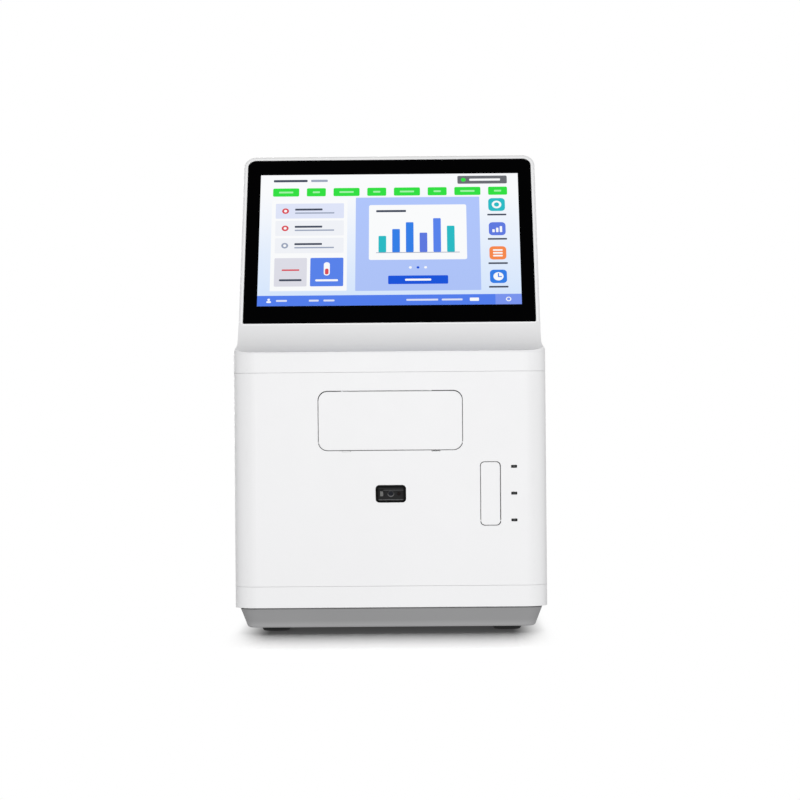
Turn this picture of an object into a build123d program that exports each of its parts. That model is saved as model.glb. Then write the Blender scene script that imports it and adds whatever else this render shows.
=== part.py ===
from build123d import *
import os
from math import cos, radians, sin

# Bench-top blood gas analyzer: a white cabinet on a dark base tray, with a touch display in a head
# that leans back, a printer behind a door in the front panel, a code scanner, a sampling flap with
# its probe, and a reagent cartridge behind a door in the right side.
# Millimetres. +Z is up, the front faces -Y, and +X is to the right of someone facing the front.
# The origin is under the middle of the body, on the plane that the feet stand on.

os.makedirs("parts", exist_ok=True)

# ---------------------------------------------------------------- driving dimensions

# Cabinet
body_w = 252
body_d = 310
body_r = 18
wall = 3
foot_h = 4
base_top = 20.5
ledge_z = 226
lip = 1
housing_top = ledge_z - lip
front_y = -body_d / 2
rear_y = body_d / 2
side_x = body_w / 2

# Front panel, let into the cabinet's front and wrapped round its two corners
panel_low = 37.5
panel_high = 209.5
wrap_depth = body_r
seam = 0.25

# Leaning head; heights u run up the display's face from the lower edge of the lit area
lean = 33.3
display_y = -111.4
display_z = 264.7
head_w = 246
head_r = 10.5
head_top_u = 155.3
head_t = 24
neck_u = -20
flare_h = 12
glass_w = 239
glass_low_u = -17.4
glass_high_u = 151.1
glass_r = 7
glass_foot_r = 1.75
glass_back = 2.2
glass_fit = 0.3
lcd_w = 229.4
lcd_low_u, lcd_high_u = -6.7, 142.3
lcd_t = 5
head_wall = 4
deck_z = 240

# Printer door and bay
door_x0, door_x1 = -57.5, 58.5
door_z0, door_z1 = 146.6, 194.2
door_r = 7.6
door_gap = 0.25
door_notches = (-35, 37)
notch_w = 7
hinge_depth = 1.5
pin_r = 0.75
pin_fit = 0.05
door_axis_z = door_z0 + door_gap + 6
roll_r = 19
roll_w = 57
roll_x, roll_y, roll_z = -6, -117.5, 167
platen_r = 4.5
platen_y, platen_z = -146, 187.5
platen_gear_r = 6
pinion_r = 3

# Scanner window
scan_x, scan_z = 0.45, 111.65
scan_w, scan_h, scan_r = 24.5, 14.1, 3

# Sampling flap, probe and status lights
flap_x0, flap_x1 = 72.5, 88.6
flap_z0, flap_z1 = 85.8, 136.8
flap_r = 3.5
flap_axis_z = flap_z0 + door_gap + 3.5
probe_x = (flap_x0 + flap_x1) / 2
probe_z = 118
screw_z = 105.5
rod_spread = 11.5
carriage_y = -98
light_x = 99.55
light_zs = (132.9, 111.4, 89.9)
light_w, light_h = 4.9, 2.3
light_deep = 9

# Side door and reagent cartridge
side_y0, side_y1 = -46, 76
side_z0, side_z1 = 48, 182
side_r = 6
side_hinge = 2.5
side_gap = 0.6
side_pin_r = 1.25
side_axis_x = side_x - side_hinge
side_axis_y = side_y1 - side_gap - side_hinge
cart_x0, cart_x1 = 45, 109.5
cart_y0, cart_y1 = -30, 58
cart_z0, cart_z1 = 62, 168

# Rear panel and what it holds
rear_half = 100
rear_z0, rear_z1 = 40, 200
panel_screws = [(x, z) for x in (-rear_half + 6, rear_half - 6) for z in (rear_z0 + 8, 120, rear_z1 - 8)]
fan_x, fan_z = 52, 150
fan_size, fan_depth = 60, 25
inlet_x, inlet_z = -58, 96
switch_x, switch_z = -84.5, 96
port_z = 49.6
usb_xs = (28, 46)
lan_x = 70

# Insides
chassis_z = 22
sheet = 2
post_x, post_y = 95, 112
bulkhead_y = -92
foot_x, foot_y = 94, 118


# ---------------------------------------------------------------- helpers

def block(x0, x1, y0, y1, z0, z1, mode=Mode.ADD):
    """Box from its lowest to its highest corner."""
    with Locations(((x0 + x1) / 2, (y0 + y1) / 2, (z0 + z1) / 2)):
        Box(x1 - x0, y1 - y0, z1 - z0, mode=mode)


def bar(radius, start, end, mode=Mode.ADD):
    """Round bar between two points."""
    line = Vector(*end) - Vector(*start)
    with Locations(Plane(origin=start, z_dir=line)):
        Cylinder(radius, line.length, align=(Align.CENTER, Align.CENTER, Align.MIN), mode=mode)


def slab(plane, x0, x1, y0, y1, radius, depth, mode=Mode.ADD):
    """Plate with rounded corners, from its outline's two corners on a plane, grown along the normal."""
    with BuildSketch(plane) as outline:
        with Locations(((x0 + x1) / 2, (y0 + y1) / 2)):
            RectangleRounded(x1 - x0, y1 - y0, radius)
    extrude(outline.sketch, amount=depth, mode=mode)


def front_plane(depth=0):
    """Plane of the front face, or one that lies deeper in the body; its normal points forwards."""
    return Plane.XZ.offset(-front_y - depth)


def side_plane(depth=0):
    """Plane of the right side's face, or one deeper in; its normal points to +X."""
    return Plane.YZ.offset(side_x - depth)


def side_door(gap, start, depth, mode=Mode.ADD):
    """Plate in the side's doorway, smaller by the gap: round at its free edge, square at its hinge."""
    height = side_z1 - side_z0 - 2 * gap
    middle_z = (side_z0 + side_z1) / 2
    with BuildSketch(side_plane(start)) as outline:
        with Locations(((side_y0 + side_y1) / 2, middle_z)):
            RectangleRounded(side_y1 - side_y0 - 2 * gap, height, side_r - gap)
        with Locations((side_y1 - gap, middle_z)):
            Rectangle(side_r, height, align=(Align.MAX, Align.CENTER))
    extrude(outline.sketch, amount=depth, mode=mode)


def side_pin(radius, overrun, mode=Mode.ADD):
    """Upright hinge pin of the side door, longer than the doorway by the overrun at each end."""
    bar(radius, (side_axis_x, side_axis_y, side_z0 - overrun),
        (side_axis_x, side_axis_y, side_z1 + overrun), mode=mode)


def display_plane(depth=0):
    """Plane of the head's leaning face, or one behind it; its normal points to the user."""
    normal = Vector(0, -cos(radians(lean)), sin(radians(lean)))
    foot = Vector(0, display_y, display_z)
    return Plane(origin=foot - normal * depth, x_dir=(1, 0, 0), z_dir=normal)


def lean_point(u, depth=0):
    """(y, z) of the point u up the head's leaning face and depth behind it."""
    y = display_y + u * sin(radians(lean)) + depth * cos(radians(lean))
    z = display_z + u * cos(radians(lean)) - depth * sin(radians(lean))
    return (y, z)


# ---------------------------------------------------------------- base, feet and chassis

base_taper = 21.5
foot_r = 12.75
foot_taper = 29
base_w, base_d = body_w - 8, body_d - 8

with BuildPart() as base_tray:
    with BuildSketch(Plane.XY.offset(base_top - 1.2)):
        RectangleRounded(base_w, base_d, body_r - 3)
    extrude(amount=-(base_top - 1.2 - foot_h), taper=base_taper)
    fillet(base_tray.faces().sort_by(Axis.Z)[0].edges(), radius=3)
    with BuildSketch(Plane.XY.offset(base_top - 1.2)):
        RectangleRounded(base_w - 4, base_d - 4, body_r - 5)
    extrude(amount=1.2)
    with BuildSketch(Plane.XY.offset(base_top)):
        RectangleRounded(base_w - 10, base_d - 10, body_r - 8)
    extrude(amount=-(base_top - foot_h - wall), taper=base_taper, mode=Mode.SUBTRACT)
    with BuildSketch(Plane.XY.offset(foot_h + wall)):
        with GridLocations(2 * post_x, 2 * post_y, 2, 2):
            Circle(5)
    extrude(amount=chassis_z - foot_h - wall)
    with GridLocations(2 * post_x, 2 * post_y, 2, 2):
        Cylinder(1.65, 80, mode=Mode.SUBTRACT)
    with GridLocations(2 * post_x, 2 * post_y, 2, 2):
        with Locations((0, 0, foot_h)):
            Cylinder(3.4, 5, mode=Mode.SUBTRACT)
    with BuildSketch(Plane.XY):
        with GridLocations(9, 46, 9, 2):
            SlotOverall(34, 3, rotation=90)
    extrude(amount=foot_h + wall + 1, mode=Mode.SUBTRACT)
base_tray.part.label = "base_tray"
export_step(base_tray.part, "parts/base_tray.step")

feet = {
    "foot_front_left": (-foot_x, -foot_y),
    "foot_front_right": (foot_x, -foot_y),
    "foot_rear_left": (-foot_x, foot_y),
    "foot_rear_right": (foot_x, foot_y),
}
for foot_name, foot_place in feet.items():
    with BuildPart() as foot:
        with BuildSketch(Plane(origin=(*foot_place, foot_h), z_dir=(0, 0, -1))):
            Circle(foot_r)
        extrude(amount=foot_h, taper=foot_taper)
        fillet(foot.faces().sort_by(Axis.Z)[0].edges(), radius=0.8)
    foot.part.label = foot_name
    export_step(foot.part, "parts/" + foot_name + ".step")

with BuildPart() as base_screws:
    with GridLocations(2 * post_x, 2 * post_y, 2, 2):
        with Locations((0, 0, foot_h + 0.1)):
            Cylinder(3.2, 2.4, align=(Align.CENTER, Align.CENTER, Align.MIN))
        with Locations((0, 0, foot_h + 2.5)):
            Cylinder(1.6, chassis_z + sheet - foot_h - 2.5, align=(Align.CENTER, Align.CENTER, Align.MIN))
base_screws.part.label = "base_screws"
export_step(base_screws.part, "parts/base_screws.step")

with BuildPart() as chassis_plate:
    slab(Plane.XY.offset(chassis_z), -112, 112, -140, 140, 10, sheet)
    with GridLocations(2 * post_x, 2 * post_y, 2, 2):
        Cylinder(1.65, 80, mode=Mode.SUBTRACT)
    with BuildSketch(Plane.XY.offset(chassis_z)):
        with Locations((0, -20)):
            with GridLocations(12, 0, 7, 1):
                SlotOverall(60, 4, rotation=90)
    extrude(amount=sheet, mode=Mode.SUBTRACT)
chassis_plate.part.label = "chassis_plate"
export_step(chassis_plate.part, "parts/chassis_plate.step")

with BuildPart() as bulkhead:
    block(-110, 58, bulkhead_y, bulkhead_y + sheet, chassis_z + sheet, 222)
    block(-110, 58, bulkhead_y + sheet, bulkhead_y + 20, chassis_z + sheet, chassis_z + 2 * sheet)
    with BuildSketch(Plane.XZ.offset(-bulkhead_y)):
        with Locations((-65, 85)):
            with GridLocations(16, 16, 5, 4):
                Circle(4)
    extrude(amount=-sheet, mode=Mode.SUBTRACT)
bulkhead.part.label = "bulkhead"
export_step(bulkhead.part, "parts/bulkhead.step")


# ---------------------------------------------------------------- cabinet

def cabinet_ring(low, high, mode=Mode.ADD):
    """Upright wall with rounded corners between two heights."""
    with BuildSketch(Plane.XY.offset(low)) as outline:
        RectangleRounded(body_w, body_d, body_r)
        RectangleRounded(body_w - 2 * wall, body_d - 2 * wall, body_r - wall, mode=Mode.SUBTRACT)
    extrude(outline.sketch, amount=high - low, mode=mode)


def hinge_bore(x0, x1, z):
    """Blind bores in the panel for the stub pins of a door that is as wide as x0 to x1."""
    bar(pin_r + pin_fit, (x0 - 2.4, front_y + hinge_depth, z), (x1 + 2.4, front_y + hinge_depth, z),
        mode=Mode.SUBTRACT)


with BuildPart() as main_housing:
    cabinet_ring(base_top, housing_top)
    block(-side_x - 1, side_x + 1, front_y - 1, front_y + wrap_depth, panel_low, panel_high,
          mode=Mode.SUBTRACT)
    for low, high in ((panel_low - 6, panel_low + 4), (panel_high - 4, panel_high + 6)):
        block(-98, 98, front_y + wall, front_y + wall + 3, low, high)
    side_door(0, -1, -1 - wall, mode=Mode.SUBTRACT)
    for low, high in ((side_z0 - 7, side_z0), (side_z1, side_z1 + 7)):
        block(side_x - wall - 4, side_x - wall, side_y1 - 9, side_y1 + 4, low, high)
    side_pin(side_pin_r + pin_fit, 5, mode=Mode.SUBTRACT)
    slab(Plane.XZ.offset(-rear_y - 1), -rear_half, rear_half, rear_z0, rear_z1, 4, wall + 1,
         mode=Mode.SUBTRACT)
    with BuildSketch(Plane.XZ.offset(-rear_y + wall)):
        with Locations((0, (rear_z0 + rear_z1) / 2)):
            RectangleRounded(2 * rear_half + 10, rear_z1 - rear_z0 + 10, 6)
            RectangleRounded(2 * rear_half - 10, rear_z1 - rear_z0 - 10, 4, mode=Mode.SUBTRACT)
    extrude(amount=2)
    for screw_x, screw_up in panel_screws:
        bar(4, (screw_x, rear_y - wall, screw_up), (screw_x, rear_y - wall - 2, screw_up))
        bar(1.6, (screw_x, rear_y - wall, screw_up), (screw_x, rear_y - wall - 2, screw_up),
            mode=Mode.SUBTRACT)
    with BuildSketch(Plane.YZ.offset(-side_x)):
        with Locations((70, 75)):
            with GridLocations(7, 0, 12, 1):
                SlotOverall(44, 3, rotation=90)
    extrude(amount=wall, mode=Mode.SUBTRACT)
main_housing.part.label = "main_housing"
export_step(main_housing.part, "parts/main_housing.step")

with BuildPart() as front_panel:
    cabinet_ring(panel_low + seam / 2, panel_high - seam / 2)
    block(-side_x - 1, side_x + 1, front_y - 1, front_y + wrap_depth - seam, panel_low, panel_high,
          mode=Mode.INTERSECT)
    slab(front_plane(), door_x0 - door_gap, door_x1 + door_gap, door_z0 - door_gap,
         door_z1 + door_gap + 0.2, door_r, -wall, mode=Mode.SUBTRACT)
    for notch_x in door_notches:
        slab(front_plane(), notch_x - notch_w / 2, notch_x + notch_w / 2, door_z0 - 1.2, door_z0 + 1,
             0.5, -wall, mode=Mode.SUBTRACT)
    hinge_bore(door_x0, door_x1, door_axis_z)
    slab(front_plane(), scan_x - scan_w / 2, scan_x + scan_w / 2, scan_z - scan_h / 2,
         scan_z + scan_h / 2, scan_r, -wall, mode=Mode.SUBTRACT)
    slab(front_plane(), flap_x0 - door_gap, flap_x1 + door_gap, flap_z0 - door_gap,
         flap_z1 + door_gap, flap_r, -wall, mode=Mode.SUBTRACT)
    hinge_bore(flap_x0, flap_x1, flap_axis_z)
    for light_z in light_zs:
        slab(front_plane(), light_x - light_w / 2, light_x + light_w / 2, light_z - light_h / 2,
             light_z + light_h / 2, 0.6, -wall, mode=Mode.SUBTRACT)
    for post_z in (100.6, 122.2):
        bar(1.8, (light_x + 3.5, front_y + wall, post_z), (light_x + 3.5, front_y + light_deep, post_z))
front_panel.part.label = "front_panel"
export_step(front_panel.part, "parts/front_panel.step")

with BuildPart() as rear_panel:
    slab(Plane.XZ.offset(-rear_y), -rear_half + 0.3, rear_half - 0.3, rear_z0 + 0.3, rear_z1 - 0.3, 4, wall)
    with BuildSketch(Plane.XZ.offset(-rear_y)) as rear_holes:
        for ring_r, count in ((7.5, 6), (14, 12), (20.5, 18), (26.5, 24)):
            with Locations((fan_x, fan_z)):
                with PolarLocations(ring_r, count):
                    Circle(2.1)
        with Locations((inlet_x, inlet_z)):
            RectangleRounded(27.4, 20.4, 3)
        with Locations((switch_x, switch_z)):
            RectangleRounded(13.4, 19.4, 0.4)
        for usb_x in usb_xs:
            with Locations((usb_x, port_z + 3.3)):
                RectangleRounded(14, 7, 0.6)
        with Locations((lan_x, port_z + 6.9)):
            RectangleRounded(16.8, 14.2, 0.6)
        with Locations((-50, 165)):
            with GridLocations(7, 0, 11, 1):
                SlotOverall(40, 3, rotation=90)
        with Locations(*panel_screws):
            Circle(1.6)
    extrude(amount=wall, mode=Mode.SUBTRACT)
    for screw_x, screw_up in panel_screws:
        bar(2.8, (screw_x, rear_y, screw_up), (screw_x, rear_y - 0.9, screw_up), mode=Mode.SUBTRACT)
rear_panel.part.label = "rear_panel"
export_step(rear_panel.part, "parts/rear_panel.step")

with BuildPart() as rear_screws:
    for screw_x, screw_up in panel_screws:
        bar(1.6, (screw_x, rear_y - 0.9, screw_up), (screw_x, rear_y - wall - 2, screw_up))
        bar(2.8, (screw_x, rear_y, screw_up), (screw_x, rear_y - 0.9, screw_up))
rear_screws.part.label = "rear_screws"
export_step(rear_screws.part, "parts/rear_screws.step")


# ---------------------------------------------------------------- head

def head_profile(inset=0):
    """Side view of the upper housing, drawn in by the wall where it is the hollow."""
    with BuildSketch(Plane.YZ) as profile:
        with BuildLine():
            neck = lean_point(neck_u)
            top = lean_point(head_top_u)
            back = lean_point(head_top_u, head_t)
            deck_foot = (38, deck_z + 6)
            TangentArc(neck, (front_y, ledge_z), tangent=(-sin(radians(lean)), -cos(radians(lean))))
            Polyline(neck, top, back, deck_foot, (rear_y, deck_z), (rear_y, housing_top),
                     (front_y, housing_top), (front_y, ledge_z))
        make_face()
        for corner, corner_r in ((back, 9), (deck_foot, 26), ((rear_y, deck_z), 6)):
            fillet(profile.vertices().sort_by_distance((*corner, 0))[0], radius=corner_r)
        if inset:
            offset(amount=-inset, kind=Kind.INTERSECTION)
    return profile.sketch


def glass_outline(grow, depth, mode=Mode.SUBTRACT):
    """The cover glass, or the pocket that is larger than it all round."""
    with BuildSketch(display_plane(depth)) as outline:
        with Locations((0, (glass_low_u + glass_high_u) / 2)):
            Rectangle(glass_w + 2 * grow, glass_high_u - glass_low_u + 2 * grow)
        fillet(outline.vertices().group_by(Axis.Y)[0], radius=glass_foot_r)
        fillet(outline.vertices().group_by(Axis.Y)[-1], radius=glass_r)
    extrude(outline.sketch, amount=depth - glass_back, mode=mode)


# The foot of the head: its two sides sweep out to the cabinet's width just above the ledge
with BuildPart() as skirt:
    with BuildSketch(Plane.XZ):
        with BuildLine():
            for side in (-1, 1):
                Line((side * (side_x + 1), ledge_z), (side * (side_x + 1), housing_top))
                ThreePointArc((side * (side_x + 1), ledge_z), (side * (head_w / 2 + 0.8), ledge_z + 4.5),
                              (side * head_w / 2, ledge_z + flare_h))
            Line((-side_x - 1, housing_top), (side_x + 1, housing_top))
            Line((-head_w / 2, ledge_z + flare_h), (head_w / 2, ledge_z + flare_h))
        make_face()
    extrude(amount=body_d, both=True)
    extrude(head_profile(), amount=body_w, both=True, mode=Mode.INTERSECT)

with BuildPart() as upper_housing:
    extrude(head_profile(), amount=head_w / 2, both=True)
    slab(display_plane(-5), -head_w / 2, head_w / 2, -300, head_top_u, head_r, -300, mode=Mode.INTERSECT)
    add(skirt.part)
    slab(Plane.XY.offset(housing_top - 1), -side_x, side_x, front_y, rear_y, body_r, 300,
         mode=Mode.INTERSECT)
    extrude(head_profile(head_wall), amount=head_w / 2 - head_wall, both=True, mode=Mode.SUBTRACT)
    slab(Plane.XY.offset(housing_top), -head_w / 2 + head_wall, head_w / 2 - head_wall, front_y + 22,
         rear_y - head_wall, body_r - head_wall, 6, mode=Mode.SUBTRACT)
    glass_outline(glass_fit, 0)
    slab(display_plane(), -lcd_w / 2 - 0.3, lcd_w / 2 + 0.3, lcd_low_u - 0.3, lcd_high_u + 0.3, 1,
         -head_wall - 1, mode=Mode.SUBTRACT)
upper_housing.part.label = "upper_housing"
export_step(upper_housing.part, "parts/upper_housing.step")

with BuildPart() as cover_glass:
    glass_outline(0, 0.2, mode=Mode.ADD)
cover_glass.part.label = "cover_glass"
export_step(cover_glass.part, "parts/cover_glass.step")

with BuildPart() as display_module:
    slab(display_plane(glass_back), -lcd_w / 2, lcd_w / 2, lcd_low_u, lcd_high_u, 1, -lcd_t)
display_module.part.label = "display_module"
export_step(display_module.part, "parts/display_module.step")

with BuildPart() as display_bracket:
    slab(display_plane(glass_back + lcd_t), -118.5, 118.5, lcd_low_u, lcd_high_u, 3, -1.5)
    with BuildSketch(display_plane(glass_back + lcd_t)):
        with Locations((0, (lcd_low_u + lcd_high_u) / 2)):
            with GridLocations(22, 22, 9, 5):
                Circle(6)
    extrude(amount=-1.5, mode=Mode.SUBTRACT)
    for side in (-1, 1):
        slab(display_plane(head_wall), side * 117 - 1.4, side * 117 + 1.4, 10, 125, 0.3,
             head_wall - glass_back - lcd_t)
display_bracket.part.label = "display_bracket"
export_step(display_bracket.part, "parts/display_bracket.step")


# ---------------------------------------------------------------- printer

with BuildPart() as printer_door:
    slab(front_plane(), door_x0 + door_gap, door_x1 - door_gap, door_z0 + door_gap, door_z1 - door_gap,
         door_r - door_gap, -wall)
    bar(pin_r, (door_x0 - 2, front_y + hinge_depth, door_axis_z),
        (door_x1 + 2, front_y + hinge_depth, door_axis_z))
printer_door.part.label = "printer_door"
export_step(printer_door.part, "parts/printer_door.step")

bay_x0, bay_x1 = door_x0 - 1, door_x1 + 1
bay_z0, bay_z1 = door_z0 - 0.8, door_z1 + 0.8

with BuildPart() as printer_bay:
    block(bay_x0 - 2, bay_x1 + 2, front_y + wall, bulkhead_y, bay_z0 - 2, bay_z1 + 2)
    block(bay_x0, bay_x1, front_y + wall, bulkhead_y - 2, bay_z0, bay_z1, mode=Mode.SUBTRACT)
printer_bay.part.label = "printer_bay"
export_step(printer_bay.part, "parts/printer_bay.step")

cheeks = ((-39, -37), (25, 27), (32, 34))
gear_x = (28.3, 31.3)
gear_shift = (platen_gear_r + pinion_r + 0.1) * sin(radians(45))
pinion_y, pinion_z = platen_y + gear_shift, platen_z - gear_shift
shaft_r = 2
pinion_shaft_r = 1
bore_fit = 0.05

with BuildPart() as printer_frame:
    block(cheeks[0][0], cheeks[-1][1], -141, -100, bay_z1 - 2, bay_z1)
    for cheek_x0, cheek_x1 in cheeks:
        block(cheek_x0, cheek_x1, front_y + wall + 2, -108, 160, bay_z1)
    bar(shaft_r + bore_fit, (-40, platen_y, platen_z), (33, platen_y, platen_z), mode=Mode.SUBTRACT)
    bar(pinion_shaft_r + bore_fit, (28, pinion_y, pinion_z), (35, pinion_y, pinion_z), mode=Mode.SUBTRACT)
    block(28, 32, front_y + wall, -128, 170, bay_z1 - 2, mode=Mode.SUBTRACT)
printer_frame.part.label = "printer_frame"
export_step(printer_frame.part, "parts/printer_frame.step")

with BuildPart() as print_head:
    block(-33, 21, platen_y + platen_r + 0.1, platen_y + platen_r + 4, 180, bay_z1 - 2)
    for fin_z in range(182, 192, 3):
        block(-33, 21, platen_y + platen_r + 3, platen_y + platen_r + 4, fin_z, fin_z + 1.2,
              mode=Mode.SUBTRACT)
print_head.part.label = "print_head"
export_step(print_head.part, "parts/print_head.step")

with BuildPart() as platen_roller:
    bar(platen_r, (-35, platen_y, platen_z), (23, platen_y, platen_z))
    bar(shaft_r, (-39.5, platen_y, platen_z), (31.8, platen_y, platen_z))
    bar(platen_gear_r, (gear_x[0], platen_y, platen_z), (gear_x[1], platen_y, platen_z))
platen_roller.part.label = "platen_roller"
export_step(platen_roller.part, "parts/platen_roller.step")

with BuildPart() as feed_pinion:
    bar(pinion_r, (gear_x[0], pinion_y, pinion_z), (gear_x[1], pinion_y, pinion_z))
    bar(pinion_shaft_r, (27.8, pinion_y, pinion_z), (37, pinion_y, pinion_z))
feed_pinion.part.label = "feed_pinion"
export_step(feed_pinion.part, "parts/feed_pinion.step")

with BuildPart() as feed_motor:
    bar(7.5, (cheeks[-1][1], pinion_y, pinion_z), (50, pinion_y, pinion_z))
    bar(pinion_shaft_r + bore_fit, (cheeks[-1][1], pinion_y, pinion_z), (38, pinion_y, pinion_z),
        mode=Mode.SUBTRACT)
    fillet(feed_motor.faces().sort_by(Axis.X)[-1].edges(), radius=1)
feed_motor.part.label = "feed_motor"
export_step(feed_motor.part, "parts/feed_motor.step")

core_r = 6
with BuildPart() as paper_roll:
    bar(roll_r, (roll_x - roll_w / 2, roll_y, roll_z), (roll_x + roll_w / 2, roll_y, roll_z))
    bar(core_r + bore_fit, (roll_x - roll_w / 2, roll_y, roll_z), (roll_x + roll_w / 2, roll_y, roll_z),
        mode=Mode.SUBTRACT)
paper_roll.part.label = "paper_roll"
export_step(paper_roll.part, "parts/paper_roll.step")

with BuildPart() as paper_spindle:
    bar(core_r, (cheeks[0][1], roll_y, roll_z), (cheeks[1][0], roll_y, roll_z))
paper_spindle.part.label = "paper_spindle"
export_step(paper_spindle.part, "parts/paper_spindle.step")


# ---------------------------------------------------------------- code scanner

with BuildPart() as scanner_bezel:
    slab(front_plane(), scan_x - scan_w / 2 + 0.1, scan_x + scan_w / 2 - 0.1, scan_z - scan_h / 2 + 0.1,
         scan_z + scan_h / 2 - 0.1, scan_r - 0.1, -9)
    slab(front_plane(wall), scan_x - 15, scan_x + 15, scan_z - 9.5, scan_z + 9.5, 2, -1.5)
    slab(front_plane(), scan_x - scan_w / 2 + 1.6, scan_x + scan_w / 2 - 1.6, scan_z - scan_h / 2 + 1.6,
         scan_z + scan_h / 2 - 1.6, 1.6, -9, mode=Mode.SUBTRACT)
scanner_bezel.part.label = "scanner_bezel"
export_step(scanner_bezel.part, "parts/scanner_bezel.step")

engine_half_w, engine_half_h = 10.4, 5.2
engine_depth = 2.8
lens_r = 2.6

with BuildPart() as scan_engine:
    slab(front_plane(engine_depth), scan_x - engine_half_w, scan_x + engine_half_w, scan_z - engine_half_h,
         scan_z + engine_half_h, 0.8, -20)
    bar(lens_r, (scan_x, front_y, scan_z), (scan_x, front_y + engine_depth + 3, scan_z), mode=Mode.SUBTRACT)
    block(scan_x - 8.6, scan_x - 4.6, front_y, front_y + engine_depth + 0.8, scan_z - 2, scan_z + 2,
          mode=Mode.SUBTRACT)
    bar(1.5, (scan_x + 6.4, front_y, scan_z), (scan_x + 6.4, front_y + engine_depth + 1.5, scan_z),
        mode=Mode.SUBTRACT)
scan_engine.part.label = "scan_engine"
export_step(scan_engine.part, "parts/scan_engine.step")

with BuildPart() as scan_lens:
    bar(lens_r, (scan_x, front_y + engine_depth + 0.6, scan_z), (scan_x, front_y + engine_depth + 3, scan_z))
    fillet(scan_lens.faces().sort_by(Axis.Y)[0].edges(), radius=0.9)
scan_lens.part.label = "scan_lens"
export_step(scan_lens.part, "parts/scan_lens.step")

with BuildPart() as scan_bracket:
    block(scan_x - 10, scan_x + 10, front_y + 12, bulkhead_y, scan_z - engine_half_h - 1.5,
          scan_z - engine_half_h)
    block(scan_x - 10, scan_x + 10, bulkhead_y - 1.5, bulkhead_y, scan_z - engine_half_h,
          scan_z - engine_half_h + 18)
scan_bracket.part.label = "scan_bracket"
export_step(scan_bracket.part, "parts/scan_bracket.step")

with BuildPart() as status_lights:
    for light_z in light_zs:
        slab(front_plane(), light_x - light_w / 2 + 0.1, light_x + light_w / 2 - 0.1,
             light_z - light_h / 2 + 0.1, light_z + light_h / 2 - 0.1, 0.5, -light_deep)
status_lights.part.label = "status_lights"
export_step(status_lights.part, "parts/status_lights.step")

with BuildPart() as status_board:
    block(light_x - 6, light_x + 6, front_y + light_deep, front_y + light_deep + 1.6, 84, 139)
    block(light_x - 3, light_x + 3, front_y + light_deep + 1.6, front_y + light_deep + 5, 86, 94)
status_board.part.label = "status_board"
export_step(status_board.part, "parts/status_board.step")


# ---------------------------------------------------------------- sampling flap and probe

with BuildPart() as sampling_flap:
    slab(front_plane(), flap_x0 + door_gap, flap_x1 - door_gap, flap_z0 + door_gap, flap_z1 - door_gap,
         flap_r - door_gap, -wall)
    bar(pin_r, (flap_x0 - 2, front_y + hinge_depth, flap_axis_z),
        (flap_x1 + 2, front_y + hinge_depth, flap_axis_z))
sampling_flap.part.label = "sampling_flap"
export_step(sampling_flap.part, "parts/sampling_flap.step")

shroud_back = -137
with BuildPart() as probe_shroud:
    block(flap_x0 - 2.1, flap_x1 + 2.1, front_y + wall, shroud_back, flap_z0 - 2.1, flap_z1 + 2.1)
    block(flap_x0 - 0.6, flap_x1 + 0.6, front_y + wall, shroud_back, flap_z0 - 0.6, flap_z1 + 0.6,
          mode=Mode.SUBTRACT)
probe_shroud.part.label = "probe_shroud"
export_step(probe_shroud.part, "parts/probe_shroud.step")

rod_xs = (probe_x - rod_spread, probe_x + rod_spread)
rod_r = 2
bracket_y0, bracket_y1 = -136, -63.5
bracket_x0, bracket_x1 = probe_x - 18.5, probe_x + 18.5
bracket_t = 2.5

with BuildPart() as probe_bracket:
    block(bracket_x0, bracket_x1, bracket_y0, bracket_y1, 98, 100)
    for plate_y in (bracket_y0, bracket_y1 - bracket_t):
        block(bracket_x0, bracket_x1, plate_y, plate_y + bracket_t, 98, 130)
    block(bracket_x0, bracket_x0 + 2, -130, -70, chassis_z + sheet, 98)
    block(bracket_x0 + 2, bracket_x0 + 20, -130, -70, chassis_z + sheet, chassis_z + sheet + 2)
    bar(5, (probe_x, bracket_y0, probe_z), (probe_x, bracket_y0 + bracket_t, probe_z), mode=Mode.SUBTRACT)
    bar(rod_r + bore_fit, (probe_x, bracket_y0, screw_z), (probe_x, bracket_y1, screw_z), mode=Mode.SUBTRACT)
probe_bracket.part.label = "probe_bracket"
export_step(probe_bracket.part, "parts/probe_bracket.step")

with BuildPart() as probe_rods:
    for rod_x in rod_xs:
        bar(rod_r, (rod_x, bracket_y0 + bracket_t, probe_z), (rod_x, bracket_y1 - bracket_t, probe_z))
probe_rods.part.label = "probe_rods"
export_step(probe_rods.part, "parts/probe_rods.step")

with BuildPart() as probe_carriage:
    block(probe_x - 16, probe_x + 16, carriage_y, carriage_y + 20, 101.5, 125)
    for rod_x in rod_xs:
        bar(rod_r + bore_fit, (rod_x, carriage_y, probe_z), (rod_x, carriage_y + 20, probe_z),
            mode=Mode.SUBTRACT)
    bar(rod_r + bore_fit, (probe_x, carriage_y, screw_z), (probe_x, carriage_y + 20, screw_z),
        mode=Mode.SUBTRACT)
probe_carriage.part.label = "probe_carriage"
export_step(probe_carriage.part, "parts/probe_carriage.step")

needle_tip = front_y + hinge_depth + 6
with BuildPart() as probe_needle:
    bar(3, (probe_x, carriage_y - 40, probe_z), (probe_x, carriage_y, probe_z))
    bar(0.8, (probe_x, needle_tip, probe_z), (probe_x, carriage_y, probe_z))
probe_needle.part.label = "probe_needle"
export_step(probe_needle.part, "parts/probe_needle.step")

with BuildPart() as probe_lead_screw:
    bar(rod_r, (probe_x, bracket_y0 + 0.5, screw_z), (probe_x, bracket_y1 + 3, screw_z))
probe_lead_screw.part.label = "probe_lead_screw"
export_step(probe_lead_screw.part, "parts/probe_lead_screw.step")

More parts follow.
